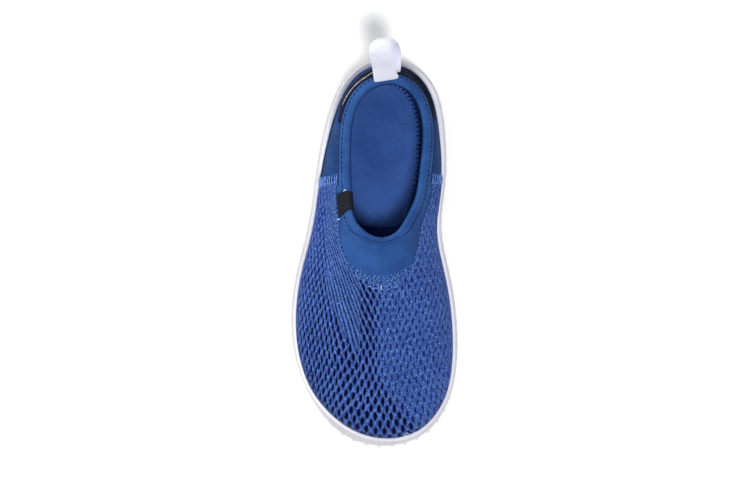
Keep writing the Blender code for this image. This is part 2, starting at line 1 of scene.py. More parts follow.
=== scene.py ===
"""Dresses the child's water shoe: ribbed knit, open mesh, footbed, webbing loop and rubber sole.

The toe points along -Y and the medial side is +X. The shoe's own sizes are in millimetres: x from
the long axis, the station from the back of the sole, and the height. The upper is drawn on rails
that run down from the collar to the sole; their girth position goes from -1 at the toe round the
lateral side, 0 at the heel, to 1 at the toe round the medial side.
"""

import math

import bpy
import numpy as np
from mathutils import Euler, Matrix, Vector


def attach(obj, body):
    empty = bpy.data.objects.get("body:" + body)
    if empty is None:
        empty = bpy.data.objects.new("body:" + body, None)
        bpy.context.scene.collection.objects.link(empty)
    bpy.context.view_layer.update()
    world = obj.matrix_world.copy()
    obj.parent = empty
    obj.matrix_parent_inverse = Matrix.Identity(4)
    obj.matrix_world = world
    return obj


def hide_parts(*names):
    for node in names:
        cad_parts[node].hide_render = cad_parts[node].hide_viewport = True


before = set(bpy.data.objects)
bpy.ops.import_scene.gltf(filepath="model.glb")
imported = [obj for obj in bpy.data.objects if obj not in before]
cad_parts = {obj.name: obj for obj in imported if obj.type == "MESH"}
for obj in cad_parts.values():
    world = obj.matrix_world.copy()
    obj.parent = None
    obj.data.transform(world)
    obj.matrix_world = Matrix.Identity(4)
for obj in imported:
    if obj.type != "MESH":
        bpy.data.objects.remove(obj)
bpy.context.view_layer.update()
random = np.random.default_rng(7)

# Camera: straight above, a little to the medial side of the shoe

EYE = Vector((0.0521, 0.0036, 1.25))
AIM = Vector((0.0, 0.0036, 0.0))
FRAME_WIDTH = 0.3675
SENSOR = 36.0

camera = bpy.data.objects.new("camera", bpy.data.cameras.new("camera"))
bpy.context.scene.collection.objects.link(camera)
camera.data.sensor_width = SENSOR
camera.data.lens = SENSOR * (EYE - AIM).length / FRAME_WIDTH
camera.location = EYE
camera.rotation_euler = (0.0, math.atan2(EYE.x - AIM.x, EYE.z), 0.0)
bpy.context.scene.camera = camera

# Sizes of the shoe

MM = 0.001
AXIS_X = 6.0  # the shoe's long axis in the part's frame
HEEL_Y = 91.87  # the back of the sole in the part's frame
SOLE_LENGTH = 188.0
GAP = 0.3  # between the upper and the sole's cup
FACET = 0.2  # more room beside the cup's flat facets
WALL = 2.5
RIM_WALL = 3.0
INSOLE_THICKNESS = 3.8
LUG_HEIGHT = 2.0
PLATE_HEEL = 6.0
PLATE_BALL = 4.6
LIP_RISE = 5.6
LIP_RISE_TOE = 8.0
LIP_WIDTH = 1.6
LIP_WIDTH_HEEL = 2.5
FLARE = {"lateral": 1.0, "medial": 0.6}
FLARE_TOE = {"lateral": 3.6, "medial": 1.9}
TOE_SPRING = 8.5
TOE_SPRING_FROM = 142.0
TOE_SPRING_POWER = 1.8
HEEL_BEVEL = 1.6
HEEL_BEVEL_TO = 13.0
ARCH_RISE = 1.2
ARCH_FROM = 52.0
ARCH_TO = 104.0
TOE_ZONE_FROM = 158.0
STEP_HEIGHT = 4.2  # the sole's straight foot band, and how far its side is set back above it
STEP_INSET = 0.5

SOLE_ROWS = [
    {"station": 5.0, "lateral": 15.0, "medial": 15.8},
    {"station": 16.5, "lateral": 24.0, "medial": 24.4},
    {"station": 36.0, "lateral": 30.6, "medial": 28.4},
    {"station": 60.0, "lateral": 34.8, "medial": 28.6},
    {"station": 83.0, "lateral": 38.2, "medial": 26.6},
    {"station": 106.0, "lateral": 44.0, "medial": 30.8},
    {"station": 127.0, "lateral": 46.4, "medial": 33.9},
    {"station": 146.0, "lateral": 44.6, "medial": 34.2},
    {"station": 161.5, "lateral": 39.0, "medial": 31.8},
    {"station": 173.5, "lateral": 31.2, "medial": 26.6},
    {"station": 182.0, "lateral": 22.0, "medial": 18.8},
]
COLLAR_HEEL = {"station": 12.6, "x": 2.4}
COLLAR_FRONT = {"station": 88.4, "x": -0.4}
COLLAR_ROWS = [
    {"station": 17.0, "lateral": 8.7, "medial": 14.2},
    {"station": 26.0, "lateral": 15.2, "medial": 19.6},
    {"station": 37.0, "lateral": 17.7, "medial": 21.2},
    {"station": 49.0, "lateral": 18.2, "medial": 20.3},
    {"station": 61.0, "lateral": 17.9, "medial": 18.7},
    {"station": 70.0, "lateral": 17.5, "medial": 16.9},
    {"station": 78.0, "lateral": 15.6, "medial": 13.0},
    {"station": 84.5, "lateral": 10.4, "medial": 8.6},
]
COLLAR_HEIGHT = [
    {"station": 12.6, "height": 58.0},
    {"station": 28.0, "height": 53.0},
    {"station": 46.0, "height": 46.5},
    {"station": 60.0, "height": 46.0},
    {"station": 76.0, "height": 51.5},
    {"station": 88.4, "height": 57.0},
]
RAIL_ENDS = [
    {"girth": 0.0, "collar": 0.0},
    {"girth": 0.10, "collar": 0.16},
    {"girth": 0.20, "collar": 0.35},
    {"girth": 0.32, "collar": 0.59},
    {"girth": 0.43, "collar": 0.73},
    {"girth": 0.62, "collar": 0.85},
    {"girth": 0.82, "collar": 0.935},
    {"girth": 1.0, "collar": 1.0},
]
RAIL_SHAPE = [
    {"girth": 0.0, "rise": 20.0, "lateral": -0.8, "medial": -0.8, "slope": 66.0, "reach": 17.0},
    {"girth": 0.12, "rise": 17.0, "lateral": -1.2, "medial": 0.7, "slope": 60.0, "reach": 15.0},
    {"girth": 0.26, "rise": 15.0, "lateral": -0.8, "medial": 1.3, "slope": 56.0, "reach": 13.0},
    {"girth": 0.40, "rise": 15.0, "lateral": 1.0, "medial": 3.0, "slope": 50.0, "reach": 15.0},
    {"girth": 0.55, "rise": 16.0, "lateral": 1.6, "medial": 4.2, "slope": 36.0, "reach": 27.0},
    {"girth": 0.72, "rise": 15.0, "lateral": 1.6, "medial": 3.8, "slope": 25.0, "reach": 44.0},
    {"girth": 0.88, "rise": 12.5, "lateral": 0.8, "medial": 1.4, "slope": 20.0, "reach": 58.0},
    {"girth": 1.0, "rise": 11.5, "lateral": 0.2, "medial": 0.2, "slope": 18.5, "reach": 62.0},
]
RAIL_START = 0.4
GIRTH_LENGTH = 250.0  # millimetres that one unit of girth takes, low on the wall and at the rim
RIM_GIRTH_LENGTH = 110.0
MESH_GIRTH = 0.325
SEAM_DEPTH = [
    {"girth": 0.0, "depth": 10.0},
    {"girth": 0.32, "depth": 8.6},
    {"girth": 0.45, "depth": 8.8},
    {"girth": 0.62, "depth": 13.5},
    {"girth": 0.80, "depth": 19.0},
    {"girth": 1.0, "depth": 21.0},
]
BAND_DEPTH = 6.0
BAND_STITCH_DEPTH = 3.05
PATCH_GIRTH = 0.19
PATCH_TOP = [
    {"girth": 0.0, "depth": 9.2},
    {"girth": 0.04, "depth": 9.2},
    {"girth": 0.07, "depth": 6.6},
    {"girth": 0.19, "depth": 6.6},
]
PATCH_FOOT = [
    {"girth": 0.0, "depth": 22.0},
    {"girth": 0.06, "depth": 17.5},
    {"girth": 0.12, "depth": 13.0},
    {"girth": 0.19, "depth": 9.4},
]
LOOP_WIDTH = 11.0
LOOP_THICKNESS = 1.1
LOOP_CROWN = 1.7
LOOP_SLANT = 0.17
LOOP_ROWS = [
    {"station": 8.4, "height": 66.0, "x": 1.0},
    {"station": 4.4, "height": 72.2, "x": 0.3},
    {"station": 0.8, "height": 75.6, "x": -0.1},
    {"station": -2.6, "height": 76.0, "x": 0.4},
    {"station": -4.4, "height": 73.0, "x": 1.3},
    {"station": -3.4, "height": 66.4, "x": 2.6},
    {"station": 0.9, "height": 59.4, "x": 3.2},
]
TAG_GIRTHS = (0.372, 0.468)
TAG_THICKNESS = 0.52
TAG_DEPTH = 6.6
HEM_ROWS = [
    {"x": -1.0, "station": 11.6},
    {"x": 4.4, "station": 12.9},
    {"x": 8.6, "station": 15.4},
    {"x": 12.2, "station": 20.2},
    {"x": 14.8, "station": 28.0},
    {"x": 16.0, "station": 37.6},
    {"x": 15.8, "station": 47.0},
    {"x": 15.0, "station": 56.7},
    {"x": 13.4, "station": 64.0},
    {"x": 11.2, "station": 70.5},
    {"x": 9.6, "station": 76.2},
    {"x": 6.4, "station": 80.4},
    {"x": 0.8, "station": 81.9},
    {"x": -6.0, "station": 82.0},
    {"x": -12.4, "station": 80.4},
    {"x": -16.4, "station": 76.6},
]

# Loose ends by the tag (girth, depth, lean), curls at the toe (x, station, radius, turns), a tack

TAG_ENDS = [(-0.367, -0.2, 0.6), (-0.369, 0.9, -0.8), (-0.478, 7.2, 0.9), (-0.474, 8.0, 0.2)]
STRAY_CURLS = [(10.0, 181.0, 1.1, 0.8), (14.6, 179.8, 1.2, 0.7)]
TACK = (-0.9, 110.6)

# Rows of loops over the panel's seam: how far below it they lie, and their pitch

FRONT_STITCHES = [(-1.9, 2.1), (-0.6, 1.9), (0.8, 2.3)]
SIDE_LOOPS = [(-1.2, 2.4), (0.2, 1.7), (1.8, 2.2), (4.0, 3.6)]
FRONT_LOOPS = [(-2.8, 1.8), (-1.2, 1.5), (0.2, 1.5), (1.6, 2.4)]

# The tread

PAD_RADIUS = 5.5
PAD_PITCH = 12.9
PAD_INSET = 8.4
HEEL_PAD = (-1.2, 30.0)
HEEL_PAD_RADIUS = 8.0
HEEL_PAD_CLEAR = 14.7
PAD_BEVEL = 0.35
STUD_RADIUS = 1.75
STUD_PITCH = 6.2
STUD_INSET = 1.7
STUD_BEVEL = 0.3

# Curves and tables

SPLINE_STEPS = 40


def smooth(rows, key, value, at):
    """The table's value at each place, on monotone cubics that are level at both ends."""
    x = np.array([row[key] for row in rows], float)
    y = np.array([row[value] for row in rows], float)
    step = np.diff(x)
    rate = np.diff(y) / step
    slope = np.zeros(len(x))
    for i in range(1, len(x) - 1):
        if rate[i - 1] * rate[i] > 0:
            before, after = step[i - 1], step[i]
            share = (before + 2 * after) / (3 * (before + after))
            slope[i] = rate[i - 1] * rate[i] / (share * rate[i] + (1 - share) * rate[i - 1])
    at = np.clip(np.asarray(at, float), x[0], x[-1])
    i = np.clip(np.searchsorted(x, at) - 1, 0, len(x) - 2)
    t = (at - x[i]) / step[i]
    return (
        y[i] * (1 + 2 * t) * (1 - t) ** 2
        + slope[i] * step[i] * t * (1 - t) ** 2
        + y[i + 1] * t**2 * (3 - 2 * t)
        + slope[i + 1] * step[i] * t**2 * (t - 1)
    )


def ease(x, low=0.0, high=1.0):
    """0 below low, 1 above high, level at both ends."""
    x = np.clip((np.asarray(x, float) - low) / (high - low), 0.0, 1.0)
    return x * x * (3 - 2 * x)


def closed_spline(points):
    """Samples of the smooth closed curve through the points."""
    points = np.array(points, float)
    count = len(points)
    following = np.roll(points, -1, axis=0)
    chord = np.linalg.norm(following - points, axis=1)
    system = np.zeros((count, count))
    right = np.zeros_like(points)
    for i in range(count):
        before, after = chord[i - 1], chord[i]
        system[i, i - 1] += after
        system[i, i] += 2 * (before + after)
        system[i, (i + 1) % count] += before
        behind = after * (points[i] - points[i - 1]) / before
        ahead = before * (following[i] - points[i]) / after
        right[i] = 3 * (behind + ahead)
    tangent = np.linalg.solve(system, right)
    t = np.linspace(0, 1, SPLINE_STEPS, endpoint=False)[:, None]
    spans = []
    for i in range(count):
        spans.append(
            points[i] * (1 + 2 * t) * (1 - t) ** 2
            + chord[i] * tangent[i] * t * (1 - t) ** 2
            + following[i] * t**2 * (3 - 2 * t)
            + chord[i] * tangent[(i + 1) % count] * t**2 * (t - 1)
        )
    return np.concatenate(spans)


def open_spline(points, per_span):
    """Samples of a smooth open curve through the points, its tangents weighted by chord."""
    points = np.array(points, float)
    chord = np.linalg.norm(np.diff(points, axis=0), axis=1)
    rate = np.diff(points, axis=0) / chord[:, None]
    before, after = chord[:-1, None], chord[1:, None]
    middle = (rate[:-1] * after + rate[1:] * before) / (before + after)
    tangent = np.vstack([rate[:1], middle, rate[-1:]])
    t = np.linspace(0, 1, per_span, endpoint=False)[:, None]
    spans = []
    for i, length in enumerate(chord):
        spans.append(
            points[i] * (1 + 2 * t) * (1 - t) ** 2
            + length * tangent[i] * t * (1 - t) ** 2
            + points[i + 1] * t**2 * (3 - 2 * t)
            + length * tangent[i + 1] * t**2 * (t - 1)
        )
    return np.vstack([*spans, points[-1:]])


def loop_of(rows, back, front):
    """A closed outline through both sides' half widths, from the back round the lateral side."""
    lateral = [(-row["lateral"], row["station"]) for row in rows]
    medial = [(row["medial"], row["station"]) for row in reversed(rows)]
    return closed_spline([back, *lateral, front, *medial])


def inset(curve, distance):
    """The closed curve moved inwards."""
    along = np.roll(curve, -1, axis=0) - np.roll(curve, 1, axis=0)
    along /= np.linalg.norm(along, axis=1)[:, None]
    inward = np.stack([along[:, 1], -along[:, 0]], axis=1)
    return curve + inward * np.broadcast_to(distance, len(curve))[:, None]


def halves(curve):
    """A closed curve's lateral and medial sides, both from the back to the front."""
    back, front = np.argmin(curve[:, 1]), np.argmax(curve[:, 1])
    rolled = np.roll(curve, -back, axis=0)
    turn = (front - back) % len(curve)
    return rolled[: turn + 1], np.concatenate([rolled[:1], rolled[turn:][::-1]])


def lengths(path):
    """Length along the path up to each of its points."""
    return np.concatenate([[0], np.cumsum(np.linalg.norm(np.diff(path, axis=0), axis=1))])


def along_path(path, share):
    """Points at shares of the path's whole length."""
    length = lengths(path)
    at = np.asarray(share) * length[-1]
    return np.stack([np.interp(at, length, column) for column in path.T], axis=-1)


# The sole's outline, heights and insets

SOLE_CURVE = loop_of(SOLE_ROWS, (0.0, 0.0), (0.0, SOLE_LENGTH))
COLLAR_CURVE = loop_of(
    COLLAR_ROWS,
    (COLLAR_HEEL["x"], COLLAR_HEEL["station"]),
    (COLLAR_FRONT["x"], COLLAR_FRONT["station"]),
)


def toe_share(station):
    """0 behind the toe, 1 at its tip."""
    return ease(station, TOE_ZONE_FROM, SOLE_LENGTH)


def underside(station):
    """Height of the sole's underside between the lugs."""
    station = np.asarray(station, float)
    toe = np.clip((station - TOE_SPRING_FROM) / (SOLE_LENGTH - TOE_SPRING_FROM), 0, 1.1)
    heel = np.clip(1 - station / HEEL_BEVEL_TO, 0, 1)
    arch = np.clip((station - ARCH_FROM) / (ARCH_TO - ARCH_FROM), 0, 1)
    return (
        LUG_HEIGHT
        + TOE_SPRING * toe**TOE_SPRING_POWER
        + HEEL_BEVEL * heel**2
        + ARCH_RISE * np.sin(math.pi * arch) ** 2
    )


def floor_height(station):
    """Height of the floor inside the sole's cup."""
    return underside(station) + PLATE_HEEL + (PLATE_BALL - PLATE_HEEL) * ease(station, 40.0, 120.0)


def lip_height(station):
    """Height of the top of the sole's lip."""
    return floor_height(station) + LIP_RISE + (LIP_RISE_TOE - LIP_RISE) * toe_share(station)


def flare(curve):
    """How far the lip's outer edge is set back from the sole's outline."""
    medial = ease(curve[:, 0], -28.0, 28.0)
    side = FLARE["lateral"] + (FLARE["medial"] - FLARE["lateral"]) * medial
    toe = FLARE_TOE["lateral"] + (FLARE_TOE["medial"] - FLARE_TOE["lateral"]) * medial
    return side + (toe - side) * toe_share(curve[:, 1])


def lip_width(curve):
    return LIP_WIDTH + (LIP_WIDTH_HEEL - LIP_WIDTH) * (1 - ease(curve[:, 1], 20.0, 60.0))


def cup_inset(curve):
    """How far the upper's wall is set back from the sole's outline."""
    return flare(curve) + lip_width(curve) + GAP + FACET


def placed(points):
    """Points of the shoe's own sizes, in the part's frame and in metres."""
    turned = np.stack([points[..., 0] + AXIS_X, HEEL_Y - points[..., 1], points[..., 2]], axis=-1)
    return turned * MM


# The upper's form: a fine table of its outer face, read anywhere by girth and by depth

UPPER_SIDES = halves(inset(SOLE_CURVE, cup_inset(SOLE_CURVE)))
COLLAR_SIDES = halves(COLLAR_CURVE)
RIM_REACH = 3.0
FORM_GIRTHS = 1201
FORM_DEPTHS = 280
RAIL_SAMPLES = 160
UP = np.array([0.0, 0.0, 1.0])


def rail(girth):
    """The outer face's line at a girth position: from above the collar down to the sole."""
    share = abs(girth)
    side = 0 if girth < 0 else 1
    foot = along_path(UPPER_SIDES[side], share)
    top = along_path(COLLAR_SIDES[side], smooth(RAIL_ENDS, "girth", "collar", share))
    low = np.array([foot[0], foot[1], lip_height(foot[1]) + RAIL_START])
    high = np.array([top[0], top[1], smooth(COLLAR_HEIGHT, "station", "height", top[1])])
    inward = high - low
    inward[2] = 0
    inward /= np.linalg.norm(inward)
    bulge = smooth(RAIL_SHAPE, "girth", ("lateral", "medial")[side], share)
    rise, slope, reach = (
        smooth(RAIL_SHAPE, "girth", name, share) for name in ("rise", "slope", "reach")
    )
    lean = math.radians(slope)
    handle_low = low + UP * rise - inward * bulge
    handle_high = high - (inward * math.cos(lean) + UP * math.sin(lean)) * reach
    t = np.linspace(1, 0, RAIL_SAMPLES)[:, None]
    bend = (
        low * (1 - t) ** 3
        + 3 * handle_low * t * (1 - t) ** 2
        + 3 * handle_high * t**2 * (1 - t)
        + high * t**3
    )
    rising = (bend[0] - bend[1]) / np.linalg.norm(bend[0] - bend[1])
    bottom = np.array([foot[0], foot[1], floor_height(foot[1]) + GAP])
    return np.vstack([bend[0] + rising * RIM_REACH, bend, bottom])


class Form:
    """The upper's outer face: points and outward normals by girth and depth below the collar."""

    def __init__(self):
        self.girths = np.linspace(-1, 1, FORM_GIRTHS)
        share = np.linspace(0, 1, FORM_DEPTHS)
        lines = [rail(girth) for girth in self.girths]
        total = [lengths(line) for line in lines]
        self.length = np.array([length[-1] - RIM_REACH for length in total])
        self.wall_foot = np.array([length[-2] - RIM_REACH for length in total])
        self.points = np.stack(
            [
                np.stack([np.interp(share * length[-1], length, axis) for axis in line.T], axis=-1)
                for line, length in zip(lines, total)
            ],
            axis=1,
        )
        down = np.gradient(self.points, axis=0)
        ring = self.points[:, :-1]
        around = np.roll(ring, -2, axis=1) - np.roll(ring, 2, axis=1)
        around = np.concatenate([around, around[:, :1]], axis=1)
        normals = np.cross(down, around)
        self.normals = normals / np.linalg.norm(normals, axis=2)[:, :, None]

    def at(self, girth, depth, off=0.0):
        """Points of the face moved out along its normals."""
        point, normal = self.look(girth, depth)
        return point + normal * np.asarray(off, float)[..., None]

    def look(self, girth, depth):
        """Points of the face and its outward normals there."""
        girth, depth = np.broadcast_arrays(np.asarray(girth, float), np.asarray(depth, float))
        column = (girth + 1) / 2 * (FORM_GIRTHS - 1)
        length = np.interp(girth, self.girths, self.length)
        row = np.clip((depth + RIM_REACH) / (length + RIM_REACH), 0, 1) * (FORM_DEPTHS - 1)
        c = np.clip(column.astype(int), 0, FORM_GIRTHS - 2)
        r = np.clip(row.astype(int), 0, FORM_DEPTHS - 2)
        s, t = (column - c)[..., None], (row - r)[..., None]
        found = []
        for table in (self.points, self.normals):
            top = table[r, c] * (1 - s) + table[r, c + 1] * s
            foot = table[r + 1, c] * (1 - s) + table[r + 1, c + 1] * s
            found.append(top * (1 - t) + foot * t)
        point, normal = found
        return point, normal / np.linalg.norm(normal, axis=-1)[..., None]

    def foot(self, girth):
        """Depth at which the wall meets the sole's lip."""
        return np.interp(girth, self.girths, self.wall_foot)

    def bottom(self, girth):
        """Depth at which the wall ends, inside the sole's cup."""
        return np.interp(girth, self.girths, self.length)


FORM = Form()


def seam_depth(girth):
    """Depth of the seam between the ribbed panel and the mesh."""
    return smooth(SEAM_DEPTH, "girth", "depth", np.abs(girth))


# Finishes


def linear(*levels):
    """A colour given in screen levels, 0 to 255, as the shader's linear values."""
    shares = [level / 255 for level in levels]
    return (*(s / 12.92 if s <= 0.04045 else ((s + 0.055) / 1.055) ** 2.4 for s in shares), 1.0)


class Value:
    """A socket of a finish's node tree, with arithmetic that adds Math nodes."""

    def __init__(self, finish, socket):
        self.finish = finish
        self.socket = socket

    def math(self, operation, *others):
        inputs = dict(enumerate((self, *others)))
        return self.finish.node("ShaderNodeMath", {"operation": operation}, inputs)

    def __add__(self, other):
        return self.math("ADD", other)

    def __mul__(self, other):
        return self.math("MULTIPLY", other)

    def __sub__(self, other):
        return self.math("SUBTRACT", other)

    def __rsub__(self, other):
        return self * -1.0 + other

    def __pow__(self, other):
        return self.math("POWER", other)

    __radd__ = __add__
    __rmul__ = __mul__

    def clamp(self):
        return self.finish.node("ShaderNodeClamp", {}, {"Value": self})

    def rise(self, low, high):
        """0 below low, 1 above high, smooth between."""
        settings = {"interpolation_type": "SMOOTHSTEP"}
        inputs = {"Value": self, "From Min": low, "From Max": high}
        return self.finish.node("ShaderNodeMapRange", settings, inputs)


class Finish:
    """A procedural material on the piece's Object coordinates or on its own UV map."""

    def __init__(self, name, **plain):
        self.material = bpy.data.materials.new(name)
        self.material.use_nodes = True
        self.tree = self.material.node_tree
        self.shader = self.tree.nodes["Principled BSDF"]
        self.sockets = {s.name.lower().replace(" ", "_"): s for s in self.shader.inputs}
        for name, value in plain.items():
            self.sockets[name].default_value = value

    def node(self, kind, settings, inputs, output=0):
        """Adds a node: its settings first, then the values or links of its sockets."""
        made = self.tree.nodes.new(kind)
        for name, value in settings.items():
            setattr(made, name, value)
        for name, value in inputs.items():
            if isinstance(value, Value):
                self.tree.links.new(value.socket, made.inputs[name])
            else:
                made.inputs[name].default_value = value
        return Value(self, made.outputs[output])

    def where(self, scale=(1000, 1000, 1000)):
        """Object coordinates, in millimetres unless another scale is given."""
        spot = self.node("ShaderNodeTexCoord", {}, {}, "Object")
        return self.node("ShaderNodeMapping", {}, {"Vector": spot, "Scale": scale})

    def cloth(self, scale=(1, 1, 1)):
        """The piece's UV map: millimetres of cloth, or the open mesh's columns and rows."""
        spot = self.node("ShaderNodeUVMap", {"uv_map": "cloth"}, {})
        return self.node("ShaderNodeMapping", {}, {"Vector": spot, "Scale": scale})

    def axis(self, vector, index):
        return self.node("ShaderNodeSeparateXYZ", {}, {0: vector}, index)

    def noise(self, vector, scale, detail=2.0):
        inputs = {"Vector": vector, "Scale": scale, "Detail": detail}
        return self.node("ShaderNodeTexNoise", {}, inputs)

    def grain(self, vector, scale):
        """Distance from the nearest of scattered spots."""
        inputs = {"Vector": vector, "Scale": scale}
        return self.node("ShaderNodeTexVoronoi", {"feature": "F1"}, inputs, "Distance")

    def facts(self, name):
        """A number that the piece's maker stored at each point."""
        return self.node("ShaderNodeAttribute", {"attribute_name": name}, {}, "Fac")

    def mix(self, share, first, second):
        settings = {"data_type": "RGBA"}
        return self.node("ShaderNodeMix", settings, {0: share, 6: first, 7: second}, 2)

    def shade(self, **values):
        """Links values to the shader's sockets."""
        for name, value in values.items():
            self.tree.links.new(value.socket, self.sockets[name])

    def relief(self, height, depth):
        """Fine relief in the surface, its depth in millimetres."""
        inputs = {"Height": height, "Distance": depth * MM, "Strength": 1.0}
        self.shade(normal=self.node("ShaderNodeBump", {}, inputs, "Normal"))


def wave(value, period):
    """A cosine of a coordinate in millimetres, from 0 to 1."""
    return (value * (2 * math.pi / period)).math("COSINE") * 0.5 + 0.5


def knit_finish():
    """Fine ribbed knit: ribs run down the cloth; behind the side seams, below the band, painted
    shade makes it a deeper blue.
    """
    made = Finish("blue ribbed knit", roughness=0.8, sheen_weight=0.05, specular_ior_level=0.0)
    cloth = made.cloth()
    across, along = made.axis(cloth, 0), made.axis(cloth, 1)
    waver = made.noise(cloth, 0.25) * 0.5
    rib_line = wave(across + waver, 0.95)
    loop = wave(along + across.math("FLOOR") * 0.5, 0.62)
    blotch = made.noise(made.where(), 0.09, 3.0)
    fleck_and_glint = made.grain(cloth, 2.2).rise(0.05, 0.45)
    share = (rib_line * 0.34 + loop * 0.1 + blotch.rise(0.3, 0.7) * 0.36 + fleck_and_glint * 0.2).clamp()
    # painted shade: the heel's knit wall below the band darkened as if in shadow
    painted_wall_shade = along.rise(6.3, 7.2) * made.axis(made.where(), 1).rise(30.0, 33.0)
    front = made.mix(share, linear(24, 48, 98), linear(50, 92, 154))
    shaded_rear = made.mix(share, linear(8, 34, 78), linear(32, 74, 132))
    made.shade(base_color=made.mix(painted_wall_shade, front, shaded_rear))
    made.relief(rib_line + loop * 0.4 + made.noise(cloth, 3.0) * 0.5, 0.11)
    return made


def mesh_finish():
    """Open mesh: yarns run round staggered holes, whose columns and rows are the UV map's units."""
    made = Finish("open blue mesh", roughness=0.7, sheen_weight=0.06, specular_ior_level=0.0)
    cloth = made.cloth()
    u, v = made.axis(cloth, 0), made.axis(cloth, 1)
    wide, tall, lean = made.facts("wide"), made.facts("tall"), made.facts("lean")
    opened, medial, gather = made.facts("open"), made.facts("medial"), made.facts("gather")
    spot = made.where()
    near = []
    for shift, step in ((0.0, 0.0), (0.5, 1.0)):
        i, j = (u - shift).math("ROUND"), ((v - step) * 0.5).math("ROUND")
        du, dv = u - shift - i, v - step - j * 2.0
        near.append(((du + dv * lean) * wide) ** 2.0 + (dv * tall) ** 2.0)
    near = near[0].math("MINIMUM", near[1]).math("SQRT")
    ragged = made.noise(spot, 1.3, 2.0) - 0.5
    near = near + ragged * (medial * 0.7 + 0.3)
    hole = (1.0 - near.rise(0.80, 1.12)) * (1.0 - gather.rise(0.2, 0.8))
    # painted light on the yarns: lighter on the strands' crowns away from the holes' rims, with
    # painted highlight streaks along the strands
    painted_crown_light = near.rise(1.1, 1.9)
    yarn = wave(near + ragged * 0.4, 0.42)
    blotch = made.noise(spot, 0.06, 3.0).rise(0.3, 0.7)
    fibre = made.noise(made.where(scale=(2300, 900, 1500)), 1.0, 2.0).rise(0.35, 0.65)
    painted_highlight_streak = made.noise(made.cloth(scale=(5, 2, 1)), 1.0, 1.0).rise(0.44, 0.6)
    body = (painted_crown_light * 0.16 + yarn * 0.1 + blotch * 0.1 + fibre * 0.22 + painted_highlight_streak * 0.46).clamp()
    colour = made.mix(body, linear(4, 26, 98), linear(88, 124, 202))
    # the gathered knit: lighter strands, with dark lines between them that are the lining in the
    # sunk slits and painted shade there
    line = 1.0 - wave(made.facts("fold") + ragged * 0.3, 1.0).rise(0.3, 0.8)
    colour = made.mix(gather * line * 0.4, colour, linear(92, 130, 200))
    colour = made.mix(gather * (1.0 - line) * 0.9, colour, linear(8, 30, 94))
    colour = made.mix(medial * 0.22, colour, linear(22, 58, 136))
    # painted glints: small light specks standing in for light sparkling on the mesh yarns
    fleck_and_glint = made.noise(spot, 1.5, 1.0).rise(0.62, 0.7)
    colour = made.mix(fleck_and_glint * (medial * 0.55 + gather * 0.4 + 0.25), colour, linear(136, 172, 226))
    bar = made.noise(made.where(scale=(1500, 620, 900)), 1.0, 1.0).rise(0.55, 0.64)
    colour = made.mix(bar * (medial * 0.55 + 0.05), colour, linear(24, 42, 112))
    # the holes' colour: the dark lining behind them, with painted shade of the shoe's dark inside,
    # darkest where the mesh is most open
    inside = made.mix(opened.rise(0.45, 0.9), linear(14, 34, 98), linear(2, 10, 50))
    inside = made.mix(medial, inside, linear(12, 36, 102))
    colour = made.mix(hole * opened.rise(0.0, 0.1), colour, inside)
    made.shade(base_color=colour)
    made.relief(yarn * 0.5 + fibre * 0.7 - hole * 0.5, 0.14)
    return made


def footbed_finish():
    """Fine plain weave with a worn, slightly clouded nap."""
    made = Finish("blue footbed cloth", roughness=0.85, specular_ior_level=0.0)
    spot = made.where()
    x, y = made.axis(spot, 0), made.axis(spot, 1)
    weft, warp = wave(x + y * 0.15, 0.95), wave(y, 0.8)
    blotch = made.noise(spot, 0.06, 4.0).rise(0.3, 0.7)
    fuzz = made.noise(spot, 1.4, 3.0).rise(0.35, 0.7)
    share = (blotch * 0.45 + fuzz * 0.3 + weft * 0.14 + warp * 0.1).clamp()
    made.shade(base_color=made.mix(share, linear(40, 66, 126), linear(62, 96, 164)))
    made.relief(weft * warp + fuzz * 0.6, 0.12)
    return made


def rubber_finish():
    """White rubber with a little random dust; painted shade makes it greyer on the sides of the
    sole and on the tread.
    """
    made = Finish("white moulded rubber", roughness=0.42)
    spot = made.where()
    cloud = made.noise(spot, 0.05, 3.0).rise(0.3, 0.7)
    dust = made.noise(spot, 0.9, 4.0).rise(0.55, 0.85)
    colour = made.mix(cloud * 0.6, linear(236, 236, 246), linear(224, 225, 238))
    # painted shade: the sole's sides and the tread greyer, as if turned away from the light
    colour = made.mix(made.facts("side"), colour, linear(204, 202, 208))
    made.shade(base_color=made.mix(dust * 0.25, colour, linear(196, 196, 206)))
    made.shade(roughness=cloud * 0.16 + 0.36)
    made.relief(made.noise(spot, 2.6, 3.0) + made.grain(spot, 1.6) * 0.4, 0.05)
    return made


def webbing_finish():
    """Narrow woven webbing: a fine herringbone along its length."""
    made = Finish("white webbing", roughness=0.7, sheen_weight=0.05, specular_ior_level=0.2)
    cloth = made.cloth()
    across, along = made.axis(cloth, 0), made.axis(cloth, 1)
    bars = across.math("PINGPONG", 1.1)
    twill = wave(along + bars * 1.2, 0.72)
    cord = wave(across, 1.1)
    blotch = made.noise(cloth, 0.35, 3.0)
    share = (twill * 0.5 + cord * 0.25 + blotch * 0.35).clamp()
    made.shade(base_color=made.mix(share, linear(220, 221, 246), linear(246, 247, 255)))
    made.relief(twill + cord * 0.6 + made.noise(cloth, 3.5) * 0.4, 0.16)
    return made


def film_finish():
    """Smooth dark film with a satin face."""
    made = Finish("dark heel film", roughness=0.5, specular_ior_level=0.0)
    spot = made.where()
    cloud = made.noise(spot, 0.15, 3.0).rise(0.3, 0.7)
    made.shade(base_color=made.mix(cloud, linear(20, 24, 34), linear(36, 42, 56)))
    made.shade(roughness=cloud * 0.12 + 0.45)
    made.relief(made.noise(spot, 3.2, 2.0), 0.05)
    return made


